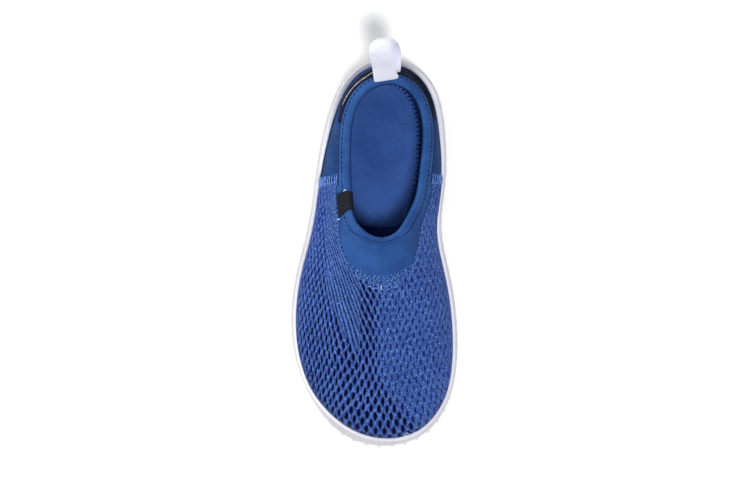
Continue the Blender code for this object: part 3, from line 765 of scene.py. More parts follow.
def label_finish():
    """Plain black ribbon weave."""
    made = Finish("black woven label", roughness=0.8, specular_ior_level=0.0)
    cloth = made.cloth()
    across, along = made.axis(cloth, 0), made.axis(cloth, 1)
    weave = wave(across, 0.5) * wave(along, 0.42)
    fuzz = made.noise(cloth, 2.5, 2.0)
    share = (weave * 0.6 + fuzz * 0.4).clamp()
    made.shade(base_color=made.mix(share, linear(18, 18, 23), linear(38, 38, 46)))
    made.relief(weave + fuzz * 0.4, 0.1)
    return made


def thread_finish(name, dark, light):
    """Sewing thread, or a narrow edge, with a little of its ply showing."""
    made = Finish(name, roughness=0.65, specular_ior_level=0.0)
    spot = made.where()
    ply = made.noise(spot, 1.3, 2.0).rise(0.3, 0.7)
    made.shade(base_color=made.mix(ply, dark, light))
    made.relief(made.noise(spot, 4.0, 2.0), 0.08)
    return made


# Meshes


def finish_piece(obj, finish, slot_name, *nodes):
    """Puts a finished piece on the shoe's body with its material."""
    obj.data.materials.clear()
    obj.data.materials.append(finish.material)
    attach(obj, "root")
    if nodes:
        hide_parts(*nodes)
    return obj


def store(mesh, uvs, facts):
    """A UV map in the cloth's own units and numbers for the finish, a row for each point."""
    while mesh.uv_layers:
        mesh.uv_layers.remove(mesh.uv_layers[0])
    if uvs is not None:
        corner = np.empty(len(mesh.loops), np.int32)
        mesh.loops.foreach_get("vertex_index", corner)
        layer = mesh.uv_layers.new(name="cloth")
        layer.data.foreach_set("uv", uvs[corner].astype(np.float32).ravel())
    for key, values in (facts or {}).items():
        layer = mesh.attributes.new(key, "FLOAT", "POINT")
        layer.data.foreach_set("value", values.astype(np.float32))


def pick(*objs):
    """Selects the objects, the first of them as the active one."""
    bpy.ops.object.select_all(action="DESELECT")
    for obj in objs:
        obj.select_set(True)
    bpy.context.view_layer.objects.active = objs[0]


def closed_up(obj, angle):
    """Merges the points that meet, turns the faces outwards and smooths up to an angle."""
    pick(obj)
    bpy.ops.object.mode_set(mode="EDIT")
    bpy.ops.mesh.select_all(action="SELECT")
    bpy.ops.mesh.remove_doubles(threshold=1e-6)
    bpy.ops.mesh.normals_make_consistent(inside=False)
    bpy.ops.object.mode_set(mode="OBJECT")
    bpy.ops.object.shade_smooth_by_angle(angle=math.radians(angle))
    return obj


def lofted(name, rings, uvs=None, facts=None, angle=60.0):
    """A solid drawn up from a flat strip: each extrusion becomes the next ring of points."""
    rings = np.asarray(rings, float)
    around = rings.shape[1]
    bpy.ops.object.select_all(action="DESELECT")
    bpy.ops.mesh.primitive_grid_add(x_subdivisions=1, y_subdivisions=around // 2, size=2.0)
    obj = bpy.context.object
    obj.name = obj.data.name = name
    bpy.ops.object.mode_set(mode="EDIT")
    bpy.ops.mesh.select_all(action="SELECT")
    for _ in rings[1:]:
        bpy.ops.mesh.extrude_region_move(TRANSFORM_OT_translate={"value": (0, 0, 1)})
    bpy.ops.object.mode_set(mode="OBJECT")
    mesh = obj.data
    spot = np.empty(len(mesh.vertices) * 3, np.float32)
    mesh.vertices.foreach_get("co", spot)
    side, step, level = spot.reshape(-1, 3).T
    step = np.rint((step + 1) / 4 * around).astype(int)
    column = np.where(side < 0, step, (around - step) % around)
    level = np.rint(level).astype(int)
    mesh.vertices.foreach_set("co", placed(rings[level, column]).astype(np.float32).ravel())
    if uvs is not None:
        uvs = uvs[level, column]
    facts = {key: values[level, column] for key, values in (facts or {}).items()}
    store(mesh, uvs, facts)
    return closed_up(obj, angle)


def new_piece(name, points, faces, uvs=None, facts=None, angle=60.0):
    """A piece of cloth or thread from its points in millimetres."""
    mesh = bpy.data.meshes.new(name)
    mesh.from_pydata(placed(points).tolist(), [], faces)
    store(mesh, uvs, facts)
    obj = bpy.data.objects.new(name, mesh)
    bpy.context.scene.collection.objects.link(obj)
    return closed_up(obj, angle)


def grid_faces(rows, columns, base=0, wrap_rows=False, wrap_columns=False):
    """Quads of a grid of points, rows by columns."""
    r = np.arange(rows if wrap_rows else rows - 1)[:, None]
    c = np.arange(columns if wrap_columns else columns - 1)[None, :]
    below, beside = (r + 1) % rows, (c + 1) % columns
    quads = [r * columns + c, r * columns + beside, below * columns + beside, below * columns + c]
    return (np.stack(quads, axis=-1).reshape(-1, 4) + base).tolist()


def closed_sheet(name, outer, inner, uvs, facts=None, angle=50.0):
    """A fine outer face and a coarse inner one over the same columns, closed all round."""
    rows, columns = outer.shape[:2]
    back = inner.shape[0]
    base = rows * columns
    faces = grid_faces(rows, columns) + grid_faces(back, columns, base)
    top, foot = np.arange(columns), (rows - 1) * columns + np.arange(columns)
    back_top, back_foot = base + top, base + (back - 1) * columns + top
    for front, behind in ((top, back_top), (foot, back_foot)):
        faces += np.stack([front[:-1], front[1:], behind[1:], behind[:-1]], axis=1).tolist()
    for side in (0, columns - 1):
        edge = [r * columns + side for r in range(rows)]
        faces.append(edge + [base + r * columns + side for r in reversed(range(back))])
    verts = np.concatenate([outer.reshape(-1, 3), inner.reshape(-1, 3)])
    behind = np.zeros((back * columns, 2)) + uvs.reshape(-1, 2)[:1]
    uvs = np.concatenate([uvs.reshape(-1, 2), behind])
    if facts:
        blank = np.zeros(back * columns)
        facts = {key: np.concatenate([value.ravel(), blank]) for key, value in facts.items()}
    return new_piece(name, verts, faces, uvs, facts, angle)


def tubes(name, paths, radius, sides=6):
    """Short lengths of thread, each a closed tube along its own path."""
    verts, faces = [], []
    for path in paths:
        path = np.asarray(path, float)
        along = np.gradient(path, axis=0)
        along /= np.linalg.norm(along, axis=1)[:, None]
        side = np.cross(along, UP)
        side /= np.maximum(np.linalg.norm(side, axis=1), 1e-6)[:, None]
        up = np.cross(side, along)
        turn = (np.arange(sides) * 2 * math.pi / sides)[None, :, None]
        section = np.cos(turn) * side[:, None] + np.sin(turn) * up[:, None]
        taper = np.ones(len(path))
        taper[[0, -1]] = 0.55
        base = sum(len(v) for v in verts)
        verts.append((path[:, None] + section * (radius * taper)[:, None, None]).reshape(-1, 3))
        faces += grid_faces(len(path), sides, base, wrap_columns=True)
        faces.append([base + i for i in range(sides)])
        faces.append([base + (len(path) - 1) * sides + i for i in range(sides)])
    return new_piece(name, np.concatenate(verts), faces, angle=70.0)


# The open mesh of the forefoot

RIDGE_X = -1.0
SEAM_CLEAR = 0.5
MESH_COLUMNS = 430
MESH_ROWS = 208
ROW_PITCH = 3.6
COLUMN_ANCHOR = -5.0
COLUMN_ROWS = [
    {"station": 60.0, "pitch": 2.9},
    {"station": 112.0, "pitch": 3.1},
    {"station": 146.0, "pitch": 3.2},
    {"station": 172.0, "pitch": 4.0},
    {"station": 184.0, "pitch": 4.7},
]
RIDGE, _ = FORM.look(np.full(600, 1.0), np.linspace(0, FORM.foot(1.0), 600))
RIDGE_TRAVEL = 0.75 * RIDGE[:, 1] + 0.25 * lengths(RIDGE)
RIDGE_RATE = 1 / (3.35 + 0.45 * ease(RIDGE[:, 1], 112.0, 152.0))
RIDGE_ROW = np.concatenate([[0], np.cumsum(np.diff(RIDGE_TRAVEL) * RIDGE_RATE[1:])])


def lattice(point):
    """Column and row number of each point of the mesh, and the columns' pitch there."""
    x, station, height = point[..., 0], point[..., 1], point[..., 2]
    drop = height - np.interp(station, RIDGE[:, 1], RIDGE[:, 2])
    away = x - RIDGE_X
    reach = 0.7 * np.abs(away) + 0.3 * np.hypot(away, drop) + 0.2 * np.maximum(np.abs(away) - 22, 0)
    across = RIDGE_X + np.sign(away) * reach
    pulled = ease(-across, -8.0, 8.0) * (1 - ease(-across, 12.0, 26.0))
    drawn = np.interp(station, [92.0, 130.0, 138.0, 170.0], [-1.6, 1.8, 1.8, 0.4])
    pushed = ease(-across, 8.0, 26.0) * 0.16 * np.maximum(142.0 - station, 0.0)
    pitch = smooth(COLUMN_ROWS, "station", "pitch", station)
    columns = (across - COLUMN_ANCHOR - drawn * pulled - pushed) / pitch
    bow = np.where(away < 0, 7.9, 4.6 + 2.9 * ease(station, 116.0, 152.0))
    bowed = station + bow * (np.sqrt(1 + (away / 16.0) ** 2) - 1)
    rows = np.interp(bowed, RIDGE[:, 1], RIDGE_ROW)
    rows += np.minimum(bowed - RIDGE[0, 1], 0) / 3.35 + np.maximum(bowed - RIDGE[-1, 1], 0) / 3.8
    return columns, rows, pitch


def ripple(x, y, seed):
    """A smooth uneven number about 0 for a place given in millimetres."""
    turns = np.array([[0.31, 0.17], [-0.23, 0.37], [0.11, -0.53], [0.61, 0.29]])
    phase = seed * np.array([1.7, 2.9, 4.3, 5.1])
    return sum(np.sin(a * x + b * y + c) for (a, b), c in zip(turns, phase)) / 4


def gauge(u, v, wide, tall, lean):
    """Distance from the middle of the nearest hole, 1 at its edge."""
    near = []
    for shift, step in ((0.0, 0.0), (0.5, 1.0)):
        du = u - shift - np.round(u - shift)
        dv = v - step - 2 * np.round((v - step) / 2)
        near.append(((du + dv * lean) * wide) ** 2 + (dv * tall) ** 2)
    return np.sqrt(np.minimum(*near))


def mesh_relief(point):
    """The holes' lattice, their size and openness, and each point's distance from a hole."""
    u, v, pitch = lattice(point)
    x, station = point[..., 0], point[..., 1]
    u = u + 0.06 * ripple(x * 1.3, station, 1.0)
    v = v + 0.08 * ripple(x, station * 1.3, 2.0)
    medial = ease(x - (-1.5 + 19.5 * ease(station, 150.0, 184.0)), -5.0, 3.0)
    side = ease(-x, 22.0, 32.0)
    toe = ease(station, 156.0, 182.0)
    front = ease(station, 126.0, 154.0)
    outer = np.minimum(26.0 - 0.47 * (station - 117.0), 27.5)
    gather = ease(-x, 9.5, 13.5) * (1 - ease(-x - outer, -2.5, 2.5))
    gather = gather * (1 - ease(station, 132.0, 150.0))
    waist = 1 - ease(station, 76.0, 112.0)
    instep = (1 - front) * ease(-x, 0.0, 8.0) * (1 - side)
    narrow = side * (1 - front)
    width = 0.76 + 0.34 * toe - 0.42 * gather - 0.12 * waist - (0.40 + 0.24 * toe) * medial
    width = width - 0.1 * narrow + 0.07 * ripple(x * 2.1, station * 1.7, 3.0)
    height = 2.05 + 0.05 * toe + 0.15 * side + 0.3 * gather + 0.1 * waist - 0.75 * medial
    facts = {
        "wide": pitch / width,
        "tall": ROW_PITCH / height,
        "lean": 0.06 * front * (1 - medial) - 0.22 * instep * (1 - medial) + 0.1 * medial,
        "open": 1 - 0.62 * medial - 0.3 * waist - 0.12 * narrow - 0.3 * gather,
        "medial": medial,
        "gather": gather,
        "fold": (x + 40.3) / (station - 43.0) * 43.6 + 0.12 * ripple(x, station * 0.7, 4.0),
    }
    near = gauge(u, v, facts["wide"], facts["tall"], facts["lean"])
    return u, v, near, facts


def mesh_half(name, side):
    """One half of the mesh, from the side seam to the middle of the toe."""
    girth = side * np.linspace(MESH_GIRTH + 0.0035, 1.0, MESH_COLUMNS)
    top = seam_depth(girth) + SEAM_CLEAR
    foot, bottom = FORM.foot(girth), FORM.bottom(girth)
    share = np.linspace(0, 1, MESH_ROWS - 4)[:, None]
    wall = top + (foot - top) * share
    under = foot + (bottom - foot) * np.array([0.2, 0.45, 0.7, 0.95])[:, None]
    depths = np.concatenate([wall, under])
    girths = np.broadcast_to(girth, depths.shape)
    point, normal = FORM.look(girths, depths)
    u, v, near, facts = mesh_relief(point)
    to_seam = depths - top
    to_side = (np.abs(girths) - MESH_GIRTH) * GIRTH_LENGTH
    clear = ease(to_seam, 0.4, 1.6) * ease(to_side, 0.8, 2.6) * (1 - ease(depths - foot, -0.6, 0.4))
    slit = 0.5 + 0.5 * np.cos(2 * math.pi * facts["fold"])
    closed = facts["gather"] * ease(slit, 0.55, 0.95)
    hole = ((1 - ease(near, 0.72, 1.12)) * (1 - facts["gather"]) + closed) * clear
    crest = ease(near, 1.0, 2.2)
    depth = 0.35 + 0.6 * facts["open"]
    hem = (1 - ease(to_seam, 0.0, 0.7)) * 0.6 + (1 - ease(to_side, 0.0, 0.8)) * 0.5
    sunk = ease(depths - foot, -2.0, 0.0)
    out = crest * 0.26 * clear - hole * depth - hem + 0.12 * (1 - sunk)
    outer = point + normal * out[..., None]
    share = np.linspace(0, 1, 9)[:, None]
    depths_in = top + 0.5 + (bottom - 0.4 - top - 0.5) * share
    inner = FORM.at(np.broadcast_to(girth, depths_in.shape), depths_in, -1.25)
    uvs = np.stack([u, v], axis=-1)
    facts["open"] = facts["open"] * clear
    obj = closed_sheet(name, outer, inner, uvs, facts, 75.0)
    return obj


# The knit upper: rolled rim, stitched band, ribbed panel and heel wall, and the lining inside

LINING_TOP = 3.2
RIM_FOOT = 0.6
RIM_ROLL = 1.5


def knit_upper(finish):
    """One wall all round, drawn as a closed loop of rows round its own section."""
    half = np.linspace(0, 1, 241)
    seam = np.array([MESH_GIRTH - 0.0016, MESH_GIRTH + 0.0016])
    half = np.sort(np.concatenate([half[np.abs(half - MESH_GIRTH) > 0.003], seam]))
    girth = np.concatenate([-half[-2:0:-1], half])
    seam_at, foot, bottom = seam_depth(girth), FORM.foot(girth), FORM.bottom(girth)
    recess = np.where(np.abs(girth) > MESH_GIRTH, -1.5, -0.05)
    ledge = seam_at + 0.7
    rows = []

    def row(depth, off):
        rows.append((np.broadcast_to(depth, girth.shape), np.broadcast_to(off, girth.shape)))

    for share in np.linspace(1, 0, 26):
        row(LINING_TOP + (bottom - LINING_TOP) * share, -WALL - 0.5 * ease(share, 0.25, 0.0))
    for turn in np.linspace(0, math.pi, 11):
        off = -RIM_WALL / 2 - RIM_WALL / 2 * math.cos(turn)
        row(RIM_FOOT - RIM_ROLL * math.sin(turn), off)
    for share in np.linspace(0.08, 1, 16):
        depth = RIM_FOOT + (BAND_DEPTH - RIM_FOOT) * share
        pillow = 0.32 * abs(math.sin(math.pi * (depth + 0.1) / 3.1)) ** 0.7
        row(depth, pillow - 0.05)
    row(BAND_DEPTH + 0.12, -0.25)
    for share in np.linspace(0.08, 1, 12):
        row(BAND_DEPTH + (seam_at - BAND_DEPTH) * share, -0.28)
    row(ledge, recess)
    for share in np.linspace(0.06, 1, 26):
        row(ledge + (foot - ledge) * share, recess)
    row(foot + (bottom - foot) * 0.5, recess)
    row(bottom, recess)
    depths = np.array([depth for depth, _ in rows])
    offs = np.array([off for _, off in rows])
    girths = np.broadcast_to(girth, depths.shape)
    points = FORM.at(girths, depths, offs)
    round_collar = lengths(FORM.at(girth, 8.0))
    uvs = np.stack([np.broadcast_to(round_collar, depths.shape), depths], axis=-1).reshape(-1, 2)
    faces = grid_faces(*depths.shape, wrap_rows=True, wrap_columns=True)
    obj = new_piece("knit_upper", points.reshape(-1, 3), faces, uvs)
    return finish_piece(obj, finish, "blue_knit", "upper")


# Stitching and edges

FOLD_GIRTH = 0.62


def spaced(girths, depths, pitch):
    """Girths and depths at an even pitch along a line on the upper."""
    length = lengths(FORM.at(girths, depths))
    at = np.arange(pitch / 2, length[-1], pitch)
    return np.interp(at, length, girths), np.interp(at, length, depths)


def girth_rate(girth, depth):
    """How much girth one millimetre takes at a place."""
    ends = FORM.at(np.clip([girth - 0.002, girth + 0.002], -1, 1), depth)
    reach = np.clip(girth + 0.002, -1, 1) - np.clip(girth - 0.002, -1, 1)
    return reach / max(np.linalg.norm(ends[1] - ends[0]), 1e-6)


def band_paths(depth, length=1.5, pitch=2.3):
    """A row of plain stitches on the collar band, round the heel as far as the front fold."""
    girths = np.linspace(-FOLD_GIRTH, FOLD_GIRTH, 900)
    starts, _ = spaced(girths, np.full(900, depth), pitch)
    paths = []
    for girth in starts:
        span = girth + np.linspace(-0.5, 0.5, 5) * length * girth_rate(girth, depth)
        rise = 0.16 + 0.1 * np.sin(np.linspace(0, math.pi, 5))
        paths.append(FORM.at(np.clip(span, -1, 1), depth, rise))
    return paths


def side_seam_paths():
    """Stitches across both side seams, one below the other."""
    paths = []
    for side in (-1, 1):
        girth = side * (MESH_GIRTH + 0.001)
        foot = float(FORM.foot(side * MESH_GIRTH))
        for at in np.arange(7.0, foot + 0.6, 2.15):
            depth = at + random.uniform(-0.25, 0.25)
            length = 5.0 + random.uniform(-0.5, 0.5)
            lean = random.uniform(-0.1, 0.1)
            t = np.linspace(-0.5, 0.5, 7)
            girths = np.clip(girth + t * length * girth_rate(girth, depth), -1, 1)
            bow = 0.1 + 0.45 * np.cos(t * math.pi)
            paths.append(FORM.at(girths, depth + t * length * lean, bow))
    return paths


def collar_seam_paths(reach, rows):
    """Ragged rows of small loops over the seam between the ribbed panel and the mesh."""
    paths = []
    for side in (-1, 1):
        girths = side * np.linspace(*reach, 500)
        spread = 0.4 + 0.7 * ease(np.abs(girths), 0.6, 0.92)
        front = girths[np.abs(girths) > 0.9]
        if len(front):
            wavy = seam_depth(front) + 3.2 + 0.35 * np.sin(front * 160)
            paths.append(FORM.at(front, wavy, 0.1)[::3])
        for row, pitch in rows:
            line = seam_depth(girths) + row * spread
            for girth, depth in zip(*spaced(girths, line, pitch)):
                length = random.uniform(0.8, 1.6)
                turn = random.uniform(-0.9, 2.2)
                t = np.linspace(-0.5, 0.5, 5) * length
                rate = girth_rate(girth, depth)
                bow = 0.12 + 0.3 * np.cos(np.linspace(-1.3, 1.3, 5))
                spot = np.clip(girth + t * math.sin(turn) * rate, -1, 1)
                paths.append(FORM.at(spot, depth + t * math.cos(turn), bow))
    return paths


def place_on(x, station):
    """Girth and depth of the place on the upper's outer face nearest to a plan position."""
    table = FORM.points[8:]
    away = (table[..., 0] - x) ** 2 + (table[..., 1] - station) ** 2
    row, column = np.unravel_index(np.argmin(away), away.shape)
    girth = FORM.girths[column]
    length = FORM.length[column] + RIM_REACH
    return girth, (row + 8) / (FORM_DEPTHS - 1) * length - RIM_REACH


def stray_paths():
    """Loose ends: two curls at the toe, a tack below the seam and ends by the tag."""
    paths = []
    for x, station, radius, turns in STRAY_CURLS:
        girth, depth = place_on(x, station)
        rate = girth_rate(girth, depth)
        t = np.linspace(0, turns * 2 * math.pi, 14)
        girths = np.clip(girth + radius * np.cos(t) * rate, -1, 1)
        paths.append(FORM.at(girths, depth + radius * np.sin(t), 0.4 + 0.5 * np.sin(t / 2)))
    girth, depth = place_on(*TACK)
    paths.append(FORM.at(np.full(5, girth), depth + np.linspace(-1.0, 1.2, 5), 0.45))
    for girth, depth, lean in TAG_ENDS:
        t = np.linspace(-0.8, 0.8, 5)
        paths.append(FORM.at(girth + t * lean * 0.004, depth + t, 0.5))
    return paths


def rim_shadow_paths():
    """Dark tubes inside the rim and under the band behind the side seams: painted shadow at the
    rim's inner edge and in the gap under the band.
    """
    inside = FORM.at(np.linspace(-1, 1, 400), np.full(400, 0.5), -RIM_WALL - 0.12)
    under_band_shadow = FORM.at(np.linspace(-0.345, 0.345, 200), np.full(200, BAND_DEPTH + 0.25), -0.1)
    return [inside, under_band_shadow]


def fold_shade_path():
    """A dark line in the fold round the front of the rim, straight across its middle: painted shade
    in the crease.
    """
    lateral = np.linspace(-FOLD_GIRTH, -0.975, 110)
    medial = np.linspace(0.975, FOLD_GIRTH, 110)
    girth = np.concatenate([lateral, medial])
    depth = BAND_STITCH_DEPTH - 2.1 * ease(np.abs(girth), FOLD_GIRTH, 0.8)
    return FORM.at(girth, depth, 0.1)


def film_reflection_path():
    """A thin pale line along the top of the heel film, on its lateral side: a painted reflection of
    the film's satin face.
    """
    girth = np.linspace(-0.15, -0.035, 60)
    depth = smooth(PATCH_TOP, "girth", "depth", np.abs(girth)) + 1.3
    return FORM.at(girth, depth, 0.95)


def sewn(name, paths, radius, finish, slot_name="blue_knit", sides=6):
    """Threads of one kind as one piece."""
    finish_piece(tubes(name, paths, radius, sides), finish, slot_name)


# The footbed, and the lining's hem on it, whose navy is partly painted shadow

RING_SECTIONS = 120
HEM_REACH = np.array([0.0, 0.25, 1.6, 4.5, 6.2, 6.2, 3.0, 1.4])[:, None]
HEM_RISE = np.array([0.1, 0.5, 0.75, 0.9, 1.0, 0.2, 0.05, 0.06])[:, None]


def ring(distance, height_of):
    """A ring round the sole at an inset, its lateral and medial points paired by station."""
    lateral, medial = halves(inset(SOLE_CURVE, distance(SOLE_CURVE)))
    first, last = lateral[0, 1], lateral[-1, 1]
    share = (1 - np.cos(np.linspace(0, math.pi, RING_SECTIONS + 1))) / 2
    station = first + (last - first) * share
    left = np.stack([np.interp(station, lateral[:, 1], lateral[:, 0]), station], axis=1)
    right = np.stack([np.interp(station, medial[:, 1], medial[:, 0]), station], axis=1)
    flat = np.concatenate([left, right[-2:0:-1]])
    return np.column_stack([flat, height_of(flat[:, 1])])


def footbed_top(station):
    """Height of the footbed's top at its edge."""
    return floor_height(station) + GAP + INSOLE_THICKNESS


def footbed(finish):
    """The footbed, with a rounded edge and a slightly hollow top."""

    def edge(extra):
        return lambda curve: cup_inset(curve) + WALL + 0.6 + extra

    rings = [ring(edge(0.5), lambda s: floor_height(s) + GAP)]
    rings.append(ring(edge(0.0), lambda s: floor_height(s) + GAP + 0.6))
    for inwards, drop in ((0.0, 0.9), (0.15, 0.45), (0.5, 0.15), (1.0, 0.02)):
        rings.append(ring(edge(inwards), lambda s, d=drop: footbed_top(s) - d))
    for inwards in (2.0, 4.0, 7.0, 10.0):
        hollow = 0.35 * ease(inwards, 1.0, 10.0)
        rings.append(ring(edge(inwards), lambda s, d=hollow: footbed_top(s) - d))
    obj = lofted("footbed", rings)
    return finish_piece(obj, finish, "blue_footbed", "insole")


def lining_hem(finish, thread):
    """The lining's turned edge on the footbed, overlocked along its inner side; its navy is partly
    painted shadow under the rim and the throat.
    """
    plan = open_spline([(row["x"], row["station"]) for row in HEM_ROWS], 14)
    along = np.gradient(plan, axis=0)
    along /= np.linalg.norm(along, axis=1)[:, None]
    outward = np.column_stack([along[:, 1], -along[:, 0], np.zeros(len(plan))])
    if outward[len(plan) // 3, 0] < 0:
        outward = -outward
    line = np.column_stack([plan, footbed_top(plan[:, 1])])
    rings = line[:, None] + outward[:, None] * HEM_REACH + UP * HEM_RISE
    finish_piece(lofted("lining_hem", rings), finish, "blue_knit")
    paths = []
    length = lengths(plan)
    for at in np.arange(1.5, length[-1] * 0.62, 2.2):
        spot = np.array([np.interp(at, length, column) for column in line.T])
        side = np.array([np.interp(at, length, column) for column in outward.T])
        ahead = np.array([side[1], -side[0], 0.0]) * random.uniform(-0.4, 0.4)
        reach = np.linspace(-random.uniform(1.0, 1.7), 1.1, 5)[:, None]
        lift = np.array([0.12, 0.3, 0.55, 0.7, 0.8])[:, None] * UP
        paths.append(spot + (side + ahead) * reach + lift)
    sewn("hem_threads", paths, 0.27, thread)


# The sole


def sole(finish):
    """One cup: underside, foot band, set-back side, lip and the floor inside."""

    def at(extra):
        return lambda curve: np.full(len(curve), extra)

    def on_lip(extra, widths=0):
        return lambda curve: flare(curve) + lip_width(curve) * widths + extra

    def side(part):
        return lambda curve: STEP_INSET + (flare(curve) - STEP_INSET) * part

    def rise(part):
        def height(s):
            span = lip_height(s) - 0.5 - underside(s) - STEP_HEIGHT
            return underside(s) + STEP_HEIGHT + span * part

        return height

    rings = [
        ring(at(2.2), underside),
        ring(at(1.0), lambda s: underside(s) + 0.25),
        ring(at(0.3), lambda s: underside(s) + 0.8),
        ring(at(0.02), lambda s: underside(s) + 1.6),
        ring(at(0.06), lambda s: underside(s) + 3.4),
        ring(at(0.2), lambda s: underside(s) + 3.85),
        ring(at(STEP_INSET), lambda s: underside(s) + 4.05),
    ]
    for part in (0.03, 0.2, 0.4, 0.6, 0.8, 0.94):
        rings.append(ring(side(part), rise(part)))
    rings += [
        ring(on_lip(0.0), lambda s: lip_height(s) - 0.5),
        ring(on_lip(0.12), lambda s: lip_height(s) - 0.15),
        ring(on_lip(0.5), lip_height),
        ring(on_lip(-0.5, 1), lip_height),
        ring(on_lip(-0.1, 1), lambda s: lip_height(s) - 0.2),
        ring(on_lip(0.0, 1), lambda s: lip_height(s) - 0.6),
        ring(on_lip(0.0, 1), lambda s: floor_height(s) + 0.4),
        ring(on_lip(0.4, 1), floor_height),
    ]
    # painted shade: full on the foot band and the side, fading across the lip's outer half
    painted_side_shade = np.array([1.0] * 14 + [0.9, 0.75, 0.1] + [0.0] * 4)
    facts = {"side": np.repeat(painted_side_shade[:, None], len(rings[0]), axis=1)}
    obj = lofted("rubber_sole", rings, facts=facts, angle=40.0)
    return finish_piece(obj, finish, "white_rubber", "outsole")


def block(sides, radius, low, high, bevel):
    """A small bevelled prism, to be copied."""
    bpy.ops.object.select_all(action="DESELECT")
    middle = (0, 0, (low + high) / 2 * MM)
    size = {"radius": radius * MM, "depth": (high - low) * MM}
    bpy.ops.mesh.primitive_cylinder_add(vertices=sides, location=middle, **size)
    obj = bpy.context.object
    made = obj.modifiers.new("edge", "BEVEL")
    made.width = bevel * MM
    made.segments = 2
    made.limit_method = "ANGLE"
    bpy.ops.object.modifier_apply(modifier="edge")
    bpy.ops.object.transform_apply(location=True, rotation=True, scale=True)
    return obj


def copies(name, shape, spots, turns, scales):
    """Copies of a small piece, each with its own mesh, joined as one object."""
    made = []
    for spot, turn, scale in zip(placed(np.array(spots)), turns, scales):
        copy = bpy.data.objects.new(name, shape.data.copy())
        copy.data.transform(Matrix.LocRotScale(spot, Euler((0, 0, turn)), (scale, scale, 1)))
        bpy.context.scene.collection.objects.link(copy)
        made.append(copy)
    bpy.data.objects.remove(shape)
    pick(*made)
    bpy.ops.object.join()
    obj = made[0]
    # painted shade: every pad and stud as grey as the sole's shaded side
    store(obj.data, None, {"side": np.ones(len(obj.data.vertices))})
    bpy.ops.object.shade_smooth_by_angle(angle=math.radians(40.0))
    return obj


def tread(finish):
    """The pads under the sole and the studs round its edge."""
    lateral, medial = halves(inset(SOLE_CURVE, PAD_INSET))
    middle, start = HEEL_PAD
    spots, scales = [HEEL_PAD], [HEEL_PAD_RADIUS / PAD_RADIUS]
    row_step = PAD_PITCH * math.sqrt(3) / 2
    for row in range(-3, 16):
        station = start + row * row_step
        if not lateral[0, 1] < station < lateral[-1, 1]:
            continue
        left = np.interp(station, lateral[:, 1], lateral[:, 0])
        right = np.interp(station, medial[:, 1], medial[:, 0])
        for column in range(-6, 7):
            x = middle + (column + 0.5 * (row % 2)) * PAD_PITCH
            if left < x < right and math.hypot(x - middle, station - start) > HEEL_PAD_CLEAR:
                spots.append((x, station))
                scales.append(1.0)
    spots = np.array(spots)
    spots = np.column_stack([spots, underside(spots[:, 1])])
    shape = block(6, PAD_RADIUS, -LUG_HEIGHT, 1.2, PAD_BEVEL)
    pads = copies("tread_pads", shape, spots, np.zeros(len(spots)), scales)
    finish_piece(pads, finish, "white_rubber")
    out = 0.3 + 0.75 * toe_share(SOLE_CURVE[:, 1])
    line = inset(SOLE_CURVE, STUD_INSET - out)
    around = np.vstack([line, line[:1]])
    count = round(lengths(around)[-1] / STUD_PITCH)
    share = np.arange(count) / count
    spots = along_path(around, share)
    ahead = along_path(around, share + 0.002) - spots
    turns = [math.atan2(-up, right) for right, up in ahead]
    spots = np.column_stack([spots, underside(spots[:, 1])])
    shape = block(4, STUD_RADIUS, -1.3, 3.3, STUD_BEVEL)
    studs = copies("edge_studs", shape, spots, turns, np.ones(len(spots)))
    finish_piece(studs, finish, "white_rubber")


# Patch, tag and loop


def heel_patch(finish):
    """A low raised patch round the heel, its edge rounded off."""
    girth = np.linspace(-PATCH_GIRTH, PATCH_GIRTH, 121)
    top = smooth(PATCH_TOP, "girth", "depth", np.abs(girth))
    foot = smooth(PATCH_FOOT, "girth", "depth", np.abs(girth))
    share = np.linspace(0, 1, 25)[:, None]
    depths = top + (foot - top) * share
    girths = np.broadcast_to(girth, depths.shape)
    edge = np.minimum(depths - top, foot - depths)
    edge = np.minimum(edge, (PATCH_GIRTH - np.abs(girths)) * GIRTH_LENGTH)
    outer = FORM.at(girths, depths, 0.3 + 0.62 * ease(edge, -0.2, 0.9))
    behind = top + (foot - top) * np.linspace(0, 1, 4)[:, None]
    inner = FORM.at(np.broadcast_to(girth, behind.shape), behind, 0.12)
    uvs = np.stack([girths * GIRTH_LENGTH, depths], axis=-1)
    obj = closed_sheet("heel_film", outer, inner, uvs)
    return finish_piece(obj, finish, "dark_film", "heel_patch")


